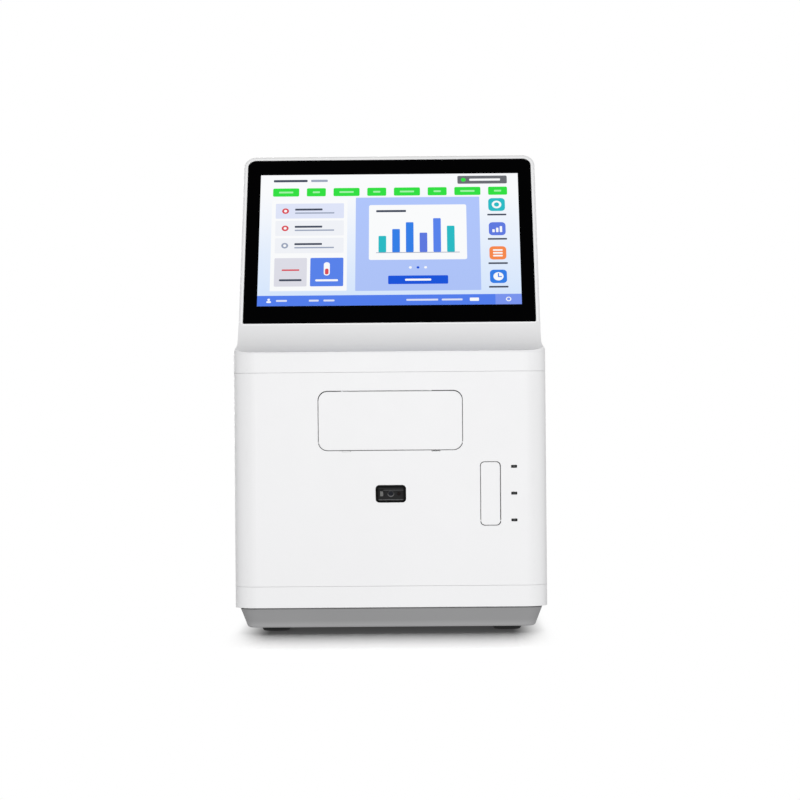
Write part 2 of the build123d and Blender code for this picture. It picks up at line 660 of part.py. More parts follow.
with BuildPart() as probe_motor:
    block(probe_x - 10, probe_x + 10, bracket_y1, bracket_y1 + 25, screw_z - 10, screw_z + 10)
    fillet(probe_motor.edges().filter_by(Axis.Y), radius=2)
    bar(rod_r + bore_fit, (probe_x, bracket_y1, screw_z), (probe_x, bracket_y1 + 4, screw_z),
        mode=Mode.SUBTRACT)
probe_motor.part.label = "probe_motor"
export_step(probe_motor.part, "parts/probe_motor.step")


# ---------------------------------------------------------------- reagent cartridge

with BuildPart() as cartridge_door:
    side_door(side_gap, 0, -wall)
    hinge_edges = cartridge_door.edges().filter_by(Axis.Z).group_by(Axis.Y)[-1]
    fillet(hinge_edges.sort_by(Axis.X)[-1], radius=side_hinge - 0.02)
    side_pin(side_pin_r, 4)
cartridge_door.part.label = "cartridge_door"
export_step(cartridge_door.part, "parts/cartridge_door.step")

bay_back = 38
rim_x = side_x - wall
with BuildPart() as cartridge_bay:
    block(rim_x - 4, rim_x, side_y0 - 4, side_y1 + 4, side_z0 + 2, side_z1 - 2)
    block(rim_x - 2.6, rim_x, side_y0 - 0.6, side_y1 + 1, side_z0 + 2, side_z1 - 2, mode=Mode.SUBTRACT)
    block(bay_back, rim_x - 4, cart_y0 - 2.6, cart_y1 + 2.6, cart_z0 - 2.6, cart_z1 + 2.6)
    block(bay_back + 2, rim_x, cart_y0 - 0.6, cart_y1 + 0.6, cart_z0 - 0.6, cart_z1 + 0.6,
          mode=Mode.SUBTRACT)
cartridge_bay.part.label = "cartridge_bay"
export_step(cartridge_bay.part, "parts/cartridge_bay.step")

with BuildPart() as reagent_cartridge:
    block(cart_x0, cart_x1, cart_y0, cart_y1, cart_z0, cart_z1)
    fillet(reagent_cartridge.edges().filter_by(Axis.X), radius=4)
    slab(side_plane(side_x - cart_x1), -8, 36, 100, 130, 6, -12, mode=Mode.SUBTRACT)
reagent_cartridge.part.label = "reagent_cartridge"
export_step(reagent_cartridge.part, "parts/reagent_cartridge.step")

with BuildPart() as sensor_board:
    block(bay_back - 1.6, bay_back, -28, 15, 75, 160)
    block(bay_back - 4.6, bay_back - 1.6, -20, -8, 100, 112)
    block(bay_back - 6.6, bay_back - 1.6, -2, 10, 130, 150)
sensor_board.part.label = "sensor_board"
export_step(sensor_board.part, "parts/sensor_board.step")


# ---------------------------------------------------------------- peristaltic pump

pump_y, pump_z = 40, 110
pump_x0 = 20
roller_orbit, roller_r = 11, 3.5
roller_pin_r = 1

with BuildPart() as pump_housing:
    bar(20, (pump_x0, pump_y, pump_z), (bay_back, pump_y, pump_z))
    bar(18, (pump_x0 + 2, pump_y, pump_z), (bay_back, pump_y, pump_z), mode=Mode.SUBTRACT)
    bar(1.5 + bore_fit, (pump_x0, pump_y, pump_z), (pump_x0 + 2, pump_y, pump_z), mode=Mode.SUBTRACT)
pump_housing.part.label = "pump_housing"
export_step(pump_housing.part, "parts/pump_housing.step")

roller_places = [(pump_y + roller_orbit * cos(radians(angle)), pump_z + roller_orbit * sin(radians(angle)))
                 for angle in (90, 210, 330)]

with BuildPart() as pump_rotor:
    for disc_x in (24, 32):
        bar(13, (disc_x, pump_y, pump_z), (disc_x + 2, pump_y, pump_z))
    bar(5, (24, pump_y, pump_z), (34, pump_y, pump_z))
    bar(1.5, (pump_x0 - 4, pump_y, pump_z), (24, pump_y, pump_z))
    for roller_y, roller_z in roller_places:
        bar(roller_pin_r, (24, roller_y, roller_z), (34, roller_y, roller_z))
pump_rotor.part.label = "pump_rotor"
export_step(pump_rotor.part, "parts/pump_rotor.step")

for number, (roller_y, roller_z) in enumerate(roller_places, start=1):
    with BuildPart() as pump_roller:
        bar(roller_r, (26.3, roller_y, roller_z), (31.7, roller_y, roller_z))
        bar(roller_pin_r + bore_fit, (26.3, roller_y, roller_z), (31.7, roller_y, roller_z),
            mode=Mode.SUBTRACT)
    pump_roller.part.label = "pump_roller_" + str(number)
    export_step(pump_roller.part, "parts/pump_roller_" + str(number) + ".step")

with BuildPart() as pump_motor:
    bar(13, (pump_x0 - 28, pump_y, pump_z), (pump_x0, pump_y, pump_z))
    bar(1.5 + bore_fit, (pump_x0 - 5, pump_y, pump_z), (pump_x0, pump_y, pump_z), mode=Mode.SUBTRACT)
    fillet(pump_motor.faces().sort_by(Axis.X)[0].edges(), radius=1.5)
pump_motor.part.label = "pump_motor"
export_step(pump_motor.part, "parts/pump_motor.step")


# ---------------------------------------------------------------- rear: fan, inlet, switch and ports

fan_y0, fan_y1 = rear_y - wall - fan_depth, rear_y - wall
fan_half = fan_size / 2

with BuildPart() as fan_frame:
    block(fan_x - fan_half, fan_x + fan_half, fan_y0, fan_y1, fan_z - fan_half, fan_z + fan_half)
    fillet(fan_frame.edges().filter_by(Axis.Y), radius=4)
    bar(27.5, (fan_x, fan_y0, fan_z), (fan_x, fan_y1, fan_z), mode=Mode.SUBTRACT)
    bar(13, (fan_x, fan_y0, fan_z), (fan_x, fan_y0 + 3, fan_z))
    with Locations((fan_x, fan_y0 + 1.5, fan_z)):
        for turn in (45, 135):
            Box(2 * 27.6, 3, 3, rotation=(0, turn, 0))
    bar(1.5 + bore_fit, (fan_x, fan_y0, fan_z), (fan_x, fan_y0 + 3, fan_z), mode=Mode.SUBTRACT)
fan_frame.part.label = "fan_frame"
export_step(fan_frame.part, "parts/fan_frame.step")

with BuildPart() as fan_rotor:
    bar(12, (fan_x, fan_y0 + 4, fan_z), (fan_x, fan_y1 - 2, fan_z))
    bar(1.5, (fan_x, fan_y0 + 0.5, fan_z), (fan_x, fan_y0 + 4, fan_z))
    for blade in range(7):
        with Locations(Location((fan_x, (fan_y0 + fan_y1 + 2) / 2, fan_z), (0, blade * 360 / 7, 0))):
            with Locations(Location((18.5, 0, 0), (35, 0, 0))):
                Box(15, 1.6, 20)
fan_rotor.part.label = "fan_rotor"
export_step(fan_rotor.part, "parts/fan_rotor.step")

face_y = rear_y - 0.4
with BuildPart() as power_inlet:
    slab(Plane.XZ.offset(-face_y), inlet_x - 13.5, inlet_x + 13.5, inlet_z - 10, inlet_z + 10, 2.8, 24)
    block(inlet_x - 17, inlet_x + 17, rear_y - wall - 2, rear_y - wall, inlet_z - 13, inlet_z + 13)
    slab(Plane.XZ.offset(-face_y), inlet_x - 12, inlet_x + 12, inlet_z - 8, inlet_z + 8, 2.5, 16,
         mode=Mode.SUBTRACT)
    for blade_x, blade_z in ((-7, -2), (7, -2), (0, 2)):
        block(inlet_x + blade_x - 1, inlet_x + blade_x + 1, face_y - 17, face_y - 3, inlet_z + blade_z - 2,
              inlet_z + blade_z + 2)
power_inlet.part.label = "power_inlet"
export_step(power_inlet.part, "parts/power_inlet.step")

rocker_tilt = 8
rocker_y = face_y - 5
with BuildPart() as switch_housing:
    block(switch_x - 6.5, switch_x + 6.5, face_y - 20, face_y, switch_z - 9.5, switch_z + 9.5)
    block(switch_x - 8, switch_x + 8, rear_y - wall - 2, rear_y - wall, switch_z - 11.5, switch_z + 11.5)
    block(switch_x - 5.5, switch_x + 5.5, face_y - 10, face_y, switch_z - 8.7, switch_z + 8.7,
          mode=Mode.SUBTRACT)
    bar(1 + bore_fit, (switch_x - 6.3, rocker_y, switch_z), (switch_x + 6.3, rocker_y, switch_z),
        mode=Mode.SUBTRACT)
switch_housing.part.label = "switch_housing"
export_step(switch_housing.part, "parts/switch_housing.step")

with BuildPart() as switch_rocker:
    tilt_dir = (0, cos(radians(rocker_tilt)), sin(radians(rocker_tilt)))
    with BuildSketch(Plane(origin=(switch_x, rocker_y, switch_z), x_dir=tilt_dir, z_dir=(1, 0, 0))):
        with BuildLine():
            Polyline((4.4, 7.5), (3, 0), (4.4, -7.5), (0, -7), (-3, -3), (-3, 3), (0, 7), close=True)
        make_face()
    extrude(amount=5.2, both=True)
    bar(1, (switch_x - 6.2, rocker_y, switch_z), (switch_x + 6.2, rocker_y, switch_z))
switch_rocker.part.label = "switch_rocker"
export_step(switch_rocker.part, "parts/switch_rocker.step")

with BuildPart() as usb_ports:
    for usb_x in usb_xs:
        block(usb_x - 6.6, usb_x + 6.6, face_y - 14, face_y, port_z, port_z + 6.6)
        block(usb_x - 6.2, usb_x + 6.2, face_y - 12, face_y, port_z + 0.4, port_z + 6.2, mode=Mode.SUBTRACT)
        block(usb_x - 5.6, usb_x + 5.6, face_y - 12, face_y - 1.5, port_z + 3.6, port_z + 5.4)
usb_ports.part.label = "usb_ports"
export_step(usb_ports.part, "parts/usb_ports.step")

with BuildPart() as network_port:
    block(lan_x - 8, lan_x + 8, face_y - 21, face_y, port_z, port_z + 13.5)
    block(lan_x - 6, lan_x + 6, face_y - 13, face_y, port_z + 2, port_z + 10, mode=Mode.SUBTRACT)
    block(lan_x - 3, lan_x + 3, face_y - 13, face_y, port_z + 10, port_z + 11.6, mode=Mode.SUBTRACT)
network_port.part.label = "network_port"
export_step(network_port.part, "parts/network_port.step")


# ---------------------------------------------------------------- boards and power

with BuildPart() as main_board:
    block(8, 100, 66, 150, port_z - 1.6, port_z)
    for chip_x, chip_y, half, chip_t in ((30, 90, 10, 2), (62, 84, 12, 3), (84, 108, 6, 2), (30, 118, 7, 6)):
        block(chip_x - half, chip_x + half, chip_y - half, chip_y + half, port_z, port_z + chip_t)
    for leg_x in (12, 96):
        for leg_y in (70, 146):
            bar(2.5, (leg_x, leg_y, chassis_z + sheet), (leg_x, leg_y, port_z - 1.6))
main_board.part.label = "main_board"
export_step(main_board.part, "parts/main_board.step")

with BuildPart() as power_supply:
    block(-110, -20, 40, 126, chassis_z + sheet, 66)
    with BuildSketch(Plane.XY.offset(66)):
        with Locations((-65, 83)):
            with GridLocations(8, 0, 9, 1):
                SlotOverall(60, 4, rotation=90)
    extrude(amount=-3, mode=Mode.SUBTRACT)
power_supply.part.label = "power_supply"
export_step(power_supply.part, "parts/power_supply.step")

with BuildPart() as battery_pack:
    block(-110, -62, -68, 30, chassis_z + sheet, 62)
    fillet(battery_pack.edges().filter_by(Axis.Y), radius=6)
battery_pack.part.label = "battery_pack"
export_step(battery_pack.part, "parts/battery_pack.step")
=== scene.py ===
"""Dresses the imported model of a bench-top blood gas analyzer and sets its studio.

Lengths in the tables are millimetres; MM turns them into Blender's metres. +Z is up, the front
faces -Y and +X is to the right of someone facing the front. A piece is shaped flat, with its face
at height 0, and then put on one of the places FRONT, REAR, SIDE or DISPLAY.
"""

import math

import bmesh
import bpy
from bpy.props import FloatProperty, FloatVectorProperty, IntProperty, PointerProperty
from mathutils import Matrix, Vector


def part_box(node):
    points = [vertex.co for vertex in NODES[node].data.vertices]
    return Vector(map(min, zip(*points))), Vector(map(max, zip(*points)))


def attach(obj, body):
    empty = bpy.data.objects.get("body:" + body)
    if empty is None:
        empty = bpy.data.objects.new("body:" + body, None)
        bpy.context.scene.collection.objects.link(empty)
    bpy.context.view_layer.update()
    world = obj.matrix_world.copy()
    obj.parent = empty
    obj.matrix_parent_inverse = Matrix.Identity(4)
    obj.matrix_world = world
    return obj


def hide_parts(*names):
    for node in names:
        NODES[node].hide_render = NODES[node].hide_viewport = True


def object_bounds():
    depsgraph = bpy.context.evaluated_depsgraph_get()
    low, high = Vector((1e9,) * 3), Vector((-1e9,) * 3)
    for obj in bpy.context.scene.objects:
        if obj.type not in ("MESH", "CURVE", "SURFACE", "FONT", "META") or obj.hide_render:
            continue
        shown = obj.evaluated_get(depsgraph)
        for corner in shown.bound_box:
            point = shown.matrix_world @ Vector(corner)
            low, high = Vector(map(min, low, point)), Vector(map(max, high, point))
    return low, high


bl_info = {
    "name": "Blood Gas Analyzer",
    "version": (1, 0, 0),
    "blender": (4, 5, 0),
    "location": "3D View > Sidebar > Analyzer",
    "description": "Dresses the model of a bench-top blood gas analyzer and sets its studio",
    "category": "Object",
}

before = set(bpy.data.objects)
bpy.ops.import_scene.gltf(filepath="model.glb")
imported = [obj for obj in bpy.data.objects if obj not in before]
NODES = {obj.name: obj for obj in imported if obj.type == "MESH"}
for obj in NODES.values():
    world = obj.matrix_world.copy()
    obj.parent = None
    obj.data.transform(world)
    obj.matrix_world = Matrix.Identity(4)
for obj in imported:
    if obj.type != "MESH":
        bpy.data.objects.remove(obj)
CAD_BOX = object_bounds()

MM = 0.001
LEAN = math.radians(33.3)


def turned(about_x, about_z=0.0):
    """Rotation that stands a flat piece up and then turns it round."""
    return Matrix.Rotation(math.radians(about_z), 4, "Z") @ Matrix.Rotation(math.radians(about_x), 4, "X")


FRONT = Matrix.Translation((0, CAD_BOX[0].y, 0)) @ turned(90)
REAR = Matrix.Translation((0, CAD_BOX[1].y, 0)) @ turned(90, 180)
SIDE = Matrix.Translation((CAD_BOX[1].x, 0, 0)) @ turned(90, 90)
DISPLAY = Matrix.Translation((0, -111.4 * MM, 264.7 * MM)) @ Matrix.Rotation(math.radians(90) - LEAN, 4, "X")


def shade(red, green, blue):
    """Linear colour from the usual 0 to 255 values."""
    def straight(value):
        value /= 255
        return value / 12.92 if value <= 0.04045 else ((value + 0.055) / 1.055) ** 2.4
    return (straight(red), straight(green), straight(blue))


# ---------------------------------------------------------------- settings

class AnalyzerShell(bpy.types.PropertyGroup):
    """Sizes and colours of the cabinet."""
    shell_colour: FloatVectorProperty(
        name="Shell", description="Colour of the white moulded shell", subtype="COLOR", size=3,
        min=0, max=1, default=shade(241, 241, 242))
    base_colour: FloatVectorProperty(
        name="Base", description="Colour of the grey base tray", subtype="COLOR", size=3,
        min=0, max=1, default=shade(152, 152, 153))
    rear_colour: FloatVectorProperty(
        name="Rear plate", description="Colour of the powder-coated rear plate", subtype="COLOR", size=3,
        min=0, max=1, default=shade(226, 228, 230))
    edge_radius: FloatProperty(
        name="Edge softness", description="Radius by which moulded edges catch the light",
        unit="LENGTH", min=0, max=0.002, default=0.00035)


class AnalyzerScreen(bpy.types.PropertyGroup):
    """Size and colours of the lit display."""
    lit_width: FloatProperty(
        name="Lit width", description="Width of the lit area", unit="LENGTH", default=0.217)
    lit_height: FloatProperty(
        name="Lit height", description="Height of the lit area up the face", unit="LENGTH", default=0.1356)
    brightness: FloatProperty(
        name="Brightness", description="Strength of the display's own light", min=0, max=3, default=0.97)
    high_colour: FloatVectorProperty(
        name="Top", description="Background colour at the top of the display", subtype="COLOR", size=3,
        min=0, max=1, default=shade(252, 253, 255))
    low_colour: FloatVectorProperty(
        name="Bottom", description="Background colour at the bottom of the display", subtype="COLOR",
        size=3, min=0, max=1, default=shade(205, 226, 254))


class AnalyzerStudio(bpy.types.PropertyGroup):
    """Camera and lamps."""
    lens: FloatProperty(
        name="Lens", description="Focal length on a 36 mm sensor", unit="CAMERA", default=123.3)
    camera_place: FloatVectorProperty(
        name="Camera", description="Where the camera stands", subtype="TRANSLATION", size=3,
        default=(0.0261, -2.355, 0.1869))
    camera_yaw: FloatProperty(
        name="Turn", description="Turn of the camera to its left", unit="ROTATION",
        default=math.radians(0.46))
    camera_roll: FloatProperty(
        name="Roll", description="Tilt of the camera about its line of sight", unit="ROTATION",
        default=math.radians(0.47))
    key_power: FloatProperty(
        name="Front light", description="Power of the large lamp in front", unit="POWER", default=34.5)
    side_power: FloatProperty(
        name="Side light", description="Power of the lamp at each side", unit="POWER", default=6)
    rear_power: FloatProperty(
        name="Rear light", description="Power of the lamp behind", unit="POWER", default=30)
    floor_power: FloatProperty(
        name="Floor light", description="Power of the lamp high behind, which lights the floor alone",
        unit="POWER", default=600)
    floor_bounce: FloatProperty(
        name="Floor bounce", description="Light that the floor gives back to the object", min=0, max=1,
        default=0.47)
    sky_level: FloatProperty(
        name="Room light", description="Strength of the even light from all round", min=0, max=1,
        default=0.385)
    lamp_count: IntProperty(
        name="Side lamps", description="Number of side lamps", min=0, max=2, default=2)


# ---------------------------------------------------------------- shaping

def clear_selection():
    """Leaves nothing selected, so that an operator acts on the new piece alone."""
    if bpy.context.mode != "OBJECT":
        bpy.ops.object.mode_set(mode="OBJECT")
    bpy.ops.object.select_all(action="DESELECT")


def activate(piece):
    """Makes the piece the only selected object."""
    clear_selection()
    piece.select_set(True)
    bpy.context.view_layer.objects.active = piece


def pick_edges(piece, wanted):
    """In edit mode, selects the edges whose middle and direction pass the test."""
    bpy.ops.mesh.select_mode(type="EDGE")
    bpy.ops.mesh.select_all(action="DESELECT")
    shape = bmesh.from_edit_mesh(piece.data)
    for edge in shape.edges:
        start, end = edge.verts[0].co, edge.verts[1].co
        edge.select_set(bool(wanted((start + end) / 2, (end - start).normalized())))
    bmesh.update_edit_mesh(piece.data)


def pick_faces(piece, wanted):
    """In edit mode, selects the faces whose middle and normal pass the test."""
    bpy.ops.mesh.select_mode(type="FACE")
    bpy.ops.mesh.select_all(action="DESELECT")
    shape = bmesh.from_edit_mesh(piece.data)
    shape.normal_update()
    for face in shape.faces:
        face.select_set(bool(wanted(face.calc_center_median(), face.normal)))
    bmesh.update_edit_mesh(piece.data)


def plate(name, span, heights, corner=0.0, edge=0.0, steps=6):
    """Flat plate with round corners: span is x0, x1, y0, y1, heights its back and its face."""
    x0, x1, y0, y1 = (value * MM for value in span)
    back, face = (value * MM for value in heights)
    clear_selection()
    bpy.ops.mesh.primitive_cube_add(
        size=1, location=((x0 + x1) / 2, (y0 + y1) / 2, (back + face) / 2),
        scale=(x1 - x0, y1 - y0, face - back))
    piece = bpy.context.object
    piece.name = name
    bpy.ops.object.transform_apply(location=True, rotation=True, scale=True)
    bpy.ops.object.mode_set(mode="EDIT")
    if corner:
        pick_edges(piece, lambda spot, way: abs(way.z) > 0.99)
        bpy.ops.mesh.bevel(offset=corner * MM, segments=steps, affect="EDGES")
    if edge:
        pick_edges(piece, lambda spot, way: abs(way.z) < 0.01 and spot.z > face - 1e-6)
        bpy.ops.mesh.bevel(offset=edge * MM, segments=3, affect="EDGES")
    bpy.ops.object.mode_set(mode="OBJECT")
    return piece


def rod(name, start, end, radius, edge=0.0, sides=32):
    """Round bar between two points."""
    start, end = Vector(start) * MM, Vector(end) * MM
    length = (end - start).length
    clear_selection()
    bpy.ops.mesh.primitive_cylinder_add(vertices=sides, radius=radius * MM, depth=length)
    piece = bpy.context.object
    piece.name = name
    if edge:
        bpy.ops.object.mode_set(mode="EDIT")
        pick_edges(piece, lambda spot, way: abs(spot.z) > length / 2 - 1e-6)
        bpy.ops.mesh.bevel(offset=edge * MM, segments=3, affect="EDGES")
        bpy.ops.object.mode_set(mode="OBJECT")
    piece.matrix_world = (Matrix.Translation((start + end) / 2)
                          @ (end - start).to_track_quat("Z", "Y").to_matrix().to_4x4())
    bpy.ops.object.transform_apply(location=True, rotation=True, scale=True)
    return piece


def sink(piece, wanted, inset, depth):
    """Draws the chosen faces in by the inset and pushes them in by the depth; less than 0 raises them."""
    activate(piece)
    bpy.ops.object.mode_set(mode="EDIT")
    pick_faces(piece, wanted)
    if inset:
        bpy.ops.mesh.inset(thickness=inset * MM, depth=0)
    bpy.ops.mesh.extrude_region_shrink_fatten(TRANSFORM_OT_shrink_fatten={"value": -depth * MM})
    bpy.ops.object.mode_set(mode="OBJECT")
    return piece


def open_through(piece, inset):
    """Turns a flat plate into a frame by joining its face and its back round a window."""
    activate(piece)
    bpy.ops.object.mode_set(mode="EDIT")
    pick_faces(piece, lambda spot, normal: abs(normal.z) > 0.999)
    bpy.ops.mesh.inset(thickness=inset * MM, depth=0)
    bpy.ops.mesh.bridge_edge_loops()
    bpy.ops.mesh.select_all(action="SELECT")
    bpy.ops.mesh.normals_make_consistent(inside=False)
    bpy.ops.object.mode_set(mode="OBJECT")
    return piece


def cut(piece, cutter):
    """Takes the cutter's shape out of the piece."""
    activate(piece)
    modifier = piece.modifiers.new("cut", "BOOLEAN")
    modifier.operation = "DIFFERENCE"
    modifier.solver = "EXACT"
    modifier.object = cutter
    bpy.ops.object.modifier_apply(modifier="cut")
    bpy.data.objects.remove(cutter)
    return piece


def join(first, *others):
    """Makes one piece of several."""
    activate(first)
    for piece in others:
        piece.select_set(True)
    bpy.ops.object.join()
    return first


def copy_piece(piece, name, move):
    """Copy with its own mesh, moved by a matrix."""
    made = piece.copy()
    made.data = piece.data.copy()
    made.name = name
    bpy.context.scene.collection.objects.link(made)
    made.data.transform(move)
    return made


def copy_node(node, name):
    """Copy of a solid's mesh with its doubles merged and its flat faces made whole."""
    made = NODES[node].copy()
    made.data = NODES[node].data.copy()
    made.name = name
    for key in list(made.keys()):
        del made[key]
    made.parent = None
    bpy.context.scene.collection.objects.link(made)
    activate(made)
    bpy.ops.mesh.customdata_custom_splitnormals_clear()
    bpy.ops.object.mode_set(mode="EDIT")
    bpy.ops.mesh.select_all(action="SELECT")
    bpy.ops.mesh.remove_doubles(threshold=1e-6)
    bpy.ops.mesh.dissolve_limited(angle_limit=math.radians(1))
    bpy.ops.object.mode_set(mode="OBJECT")
    return made


def settle(piece, place):
    """Puts a flat piece on its place and leaves the object itself at the origin."""
    activate(piece)
    piece.matrix_world = place
    bpy.ops.object.transform_apply(location=True, rotation=True, scale=True)
    return piece


def paint(piece, material):
    """Gives the whole piece one material."""
    piece.data.materials.clear()
    piece.data.materials.append(material)
    return piece


def hand_over(piece, body, replaces=()):
    """Smooths the piece's round parts, ties it to its body and hides the parts that it stands in for."""
    activate(piece)
    bpy.ops.object.shade_smooth_by_angle(angle=math.radians(35))
    level = piece.modifiers.new("level", "WEIGHTED_NORMAL")
    level.keep_sharp = True
    bpy.ops.object.modifier_apply(modifier="level")
    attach(piece, body)
    if replaces:
        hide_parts(*replaces)
    return piece


# ---------------------------------------------------------------- materials

def start_material(name, roughness=0.5, metallic=0.0, specular=0.5):
    """New material with its tree and its shader."""
    material = bpy.data.materials.new(name)
    material.use_nodes = True
    shader = material.node_tree.nodes["Principled BSDF"]
    shader.inputs["Roughness"].default_value = roughness
    shader.inputs["Metallic"].default_value = metallic
    shader.inputs["Specular IOR Level"].default_value = specular
    return material, material.node_tree, shader


def object_space(tree, scale=(1, 1, 1), shift=(0, 0, 0)):
    """Object coordinates, stretched and shifted."""
    coordinates = tree.nodes.new("ShaderNodeTexCoord")
    mapping = tree.nodes.new("ShaderNodeMapping")
    mapping.inputs["Scale"].default_value = scale
    mapping.inputs["Location"].default_value = shift
    tree.links.new(coordinates.outputs["Object"], mapping.inputs["Vector"])
    return mapping.outputs["Vector"]


def noise(tree, space, scale, detail=2.0):
    """Cloudy pattern from 0 to 1."""
    texture = tree.nodes.new("ShaderNodeTexNoise")
    texture.inputs["Scale"].default_value = scale
    texture.inputs["Detail"].default_value = detail
    tree.links.new(space, texture.inputs["Vector"])
    return texture.outputs["Fac"]


def wave(tree, space, scale, kind="BANDS", direction="X"):
    """Stripes or rings from 0 to 1."""
    texture = tree.nodes.new("ShaderNodeTexWave")
    texture.wave_type = kind
    if kind == "BANDS":
        texture.bands_direction = direction
    else:
        texture.rings_direction = direction
    texture.inputs["Scale"].default_value = scale
    tree.links.new(space, texture.inputs["Vector"])
    return texture.outputs["Fac"]


def tint(tree, shader, factor, low, high, socket="Base Color", ends=(0.25, 0.75)):
    """Lets a pattern blend two colours into one of the shader's colours."""
    ramp = tree.nodes.new("ShaderNodeValToRGB")
    for element, position, colour in zip(ramp.color_ramp.elements, ends, (low, high)):
        element.position = position
        element.color = (*colour, 1)
    tree.links.new(factor, ramp.inputs["Fac"])
    tree.links.new(ramp.outputs["Color"], shader.inputs[socket])


def vary_gloss(tree, shader, factor, low, high):
    """Lets a pattern move the roughness between two values."""
    spread = tree.nodes.new("ShaderNodeMapRange")
    spread.inputs["To Min"].default_value = low
    spread.inputs["To Max"].default_value = high
    tree.links.new(factor, spread.inputs["Value"])
    tree.links.new(spread.outputs["Result"], shader.inputs["Roughness"])


def relief(tree, shader, height, depth, edge=0.0):
    """Raises a pattern by the depth in metres; edge softens the light on sharp edges."""
    bump = tree.nodes.new("ShaderNodeBump")
    bump.inputs["Distance"].default_value = depth
    tree.links.new(height, bump.inputs["Height"])
    if edge:
        soft = tree.nodes.new("ShaderNodeBevel")
        soft.samples = 6
        soft.inputs["Radius"].default_value = edge
        tree.links.new(soft.outputs["Normal"], bump.inputs["Normal"])
    tree.links.new(bump.outputs["Normal"], shader.inputs["Normal"])


def scaled(colour, amount):
    """Colour made a little darker or lighter."""
    return tuple(min(1.0, value * amount) for value in colour)


def moulded(name, colour, roughness, grain=1800, depth=4e-6, edge=0.0, drift=0.012, specular=0.5):
    """Moulded plastic: fine grain, slight drifts of tone and gloss, softened edges."""
    material, tree, shader = start_material(name, roughness, specular=specular)
    space = object_space(tree)
    tint(tree, shader, noise(tree, space, 9), scaled(colour, 1 - drift), scaled(colour, 1 + drift / 2))
    vary_gloss(tree, shader, noise(tree, space, 70), roughness - 0.04, roughness + 0.05)
    relief(tree, shader, noise(tree, space, grain), depth, edge)
    return material


def paint_highlight_low(material, low, high, amount):
    """Makes the base colour lighter by the amount at the height low, and not at all from the height high:
    painted light, a painted highlight along the lower edge.
    """
    tree = material.node_tree
    shader = tree.nodes["Principled BSDF"]
    split = tree.nodes.new("ShaderNodeSeparateXYZ")
    tree.links.new(object_space(tree), split.inputs["Vector"])
    painted_highlight_gain = tree.nodes.new("ShaderNodeMapRange")
    painted_highlight_gain.inputs["From Min"].default_value = low * MM
    painted_highlight_gain.inputs["From Max"].default_value = high * MM
    painted_highlight_gain.inputs["To Min"].default_value = amount
    painted_highlight_gain.inputs["To Max"].default_value = 1
    tree.links.new(split.outputs["Z"], painted_highlight_gain.inputs["Value"])
    product = tree.nodes.new("ShaderNodeVectorMath")
    product.operation = "SCALE"
    tree.links.new(shader.inputs["Base Color"].links[0].from_socket, product.inputs[0])
    tree.links.new(painted_highlight_gain.outputs["Result"], product.inputs["Scale"])
    tree.links.new(product.outputs["Vector"], shader.inputs["Base Color"])
    return material


def metal(name, colour, roughness, brush=(1, 1, 1), grain=600, depth=2e-6, edge=0.0):
    """Metal whose fine marks run the long way of the brush."""
    material, tree, shader = start_material(name, roughness, metallic=1.0)
    marks = noise(tree, object_space(tree, brush), grain, 4)
    tint(tree, shader, marks, scaled(colour, 0.88), scaled(colour, 1.06))
    vary_gloss(tree, shader, marks, roughness - 0.06, roughness + 0.1)
    relief(tree, shader, marks, depth, edge)
    return material


def threaded(name, colour, direction, pitch_mm):
    """Polished steel with a fine thread, whose grooves are painted darker: painted shade."""
    material, tree, shader = start_material(name, 0.25, metallic=1.0)
    ridges_and_groove_shade = wave(tree, object_space(tree), 1 / (pitch_mm * MM) / 3.0, "BANDS", direction)
    # The darker colour in the thread's grooves is painted shade.
    tint(tree, shader, ridges_and_groove_shade, scaled(colour, 0.55), colour)
    relief(tree, shader, ridges_and_groove_shade, 2e-4)
    return material


def lit(name, high, low, brightness, streaks=0.0):
    """Part of the lit display: its colour runs from one tone at the top to another at the bottom."""
    material, tree, shader = start_material(name, 0.12, specular=0.06)
    shader.inputs["Base Color"].default_value = (0.004, 0.004, 0.005, 1)
    shader.inputs["Emission Strength"].default_value = brightness
    split = tree.nodes.new("ShaderNodeSeparateXYZ")
    space = object_space(tree)
    tree.links.new(space, split.inputs["Vector"])
    rise = tree.nodes.new("ShaderNodeMapRange")
    rise.inputs["From Min"].default_value = 0.2647
    rise.inputs["From Max"].default_value = 0.378
    tree.links.new(split.outputs["Z"], rise.inputs["Value"])
    blend = tree.nodes.new("ShaderNodeMath")
    blend.operation = "MULTIPLY_ADD"
    tree.links.new(noise(tree, object_space(tree, (6, 1, 22)), 1.0, 1.0), blend.inputs[0])
    blend.inputs[1].default_value = streaks
    tree.links.new(rise.outputs["Result"], blend.inputs[2])
    tint(tree, shader, blend.outputs["Value"], low, high, "Emission Color", (0.0, 1.0))
    return material


def circuit_board(name):
    """Green solder mask with lighter tracks and gold pads."""
    material, tree, shader = start_material(name, 0.35)
    space = object_space(tree)
    tracks = tree.nodes.new("ShaderNodeTexBrick")
    tracks.inputs["Scale"].default_value = 160
    tracks.inputs["Mortar Size"].default_value = 0.06
    tracks.inputs["Color1"].default_value = (0.012, 0.13, 0.055, 1)
    tracks.inputs["Color2"].default_value = (0.016, 0.16, 0.07, 1)
    tracks.inputs["Mortar"].default_value = (0.05, 0.3, 0.13, 1)
    tree.links.new(space, tracks.inputs["Vector"])
    tree.links.new(tracks.outputs["Color"], shader.inputs["Base Color"])
    relief(tree, shader, tracks.outputs["Fac"], 2e-5)
    return material


def wound_paper(name):
    """White thermal paper whose wound edges show on the roll's two ends."""
    material, tree, shader = start_material(name, 0.6)
    low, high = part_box("paper_roll")
    middle = (low + high) / 2
    rings = wave(tree, object_space(tree, shift=-middle), 900, "RINGS", "X")
    tint(tree, shader, rings, shade(222, 221, 215), shade(243, 243, 240))
    relief(tree, shader, rings, 1e-5)
    return material


MATERIALS = {}


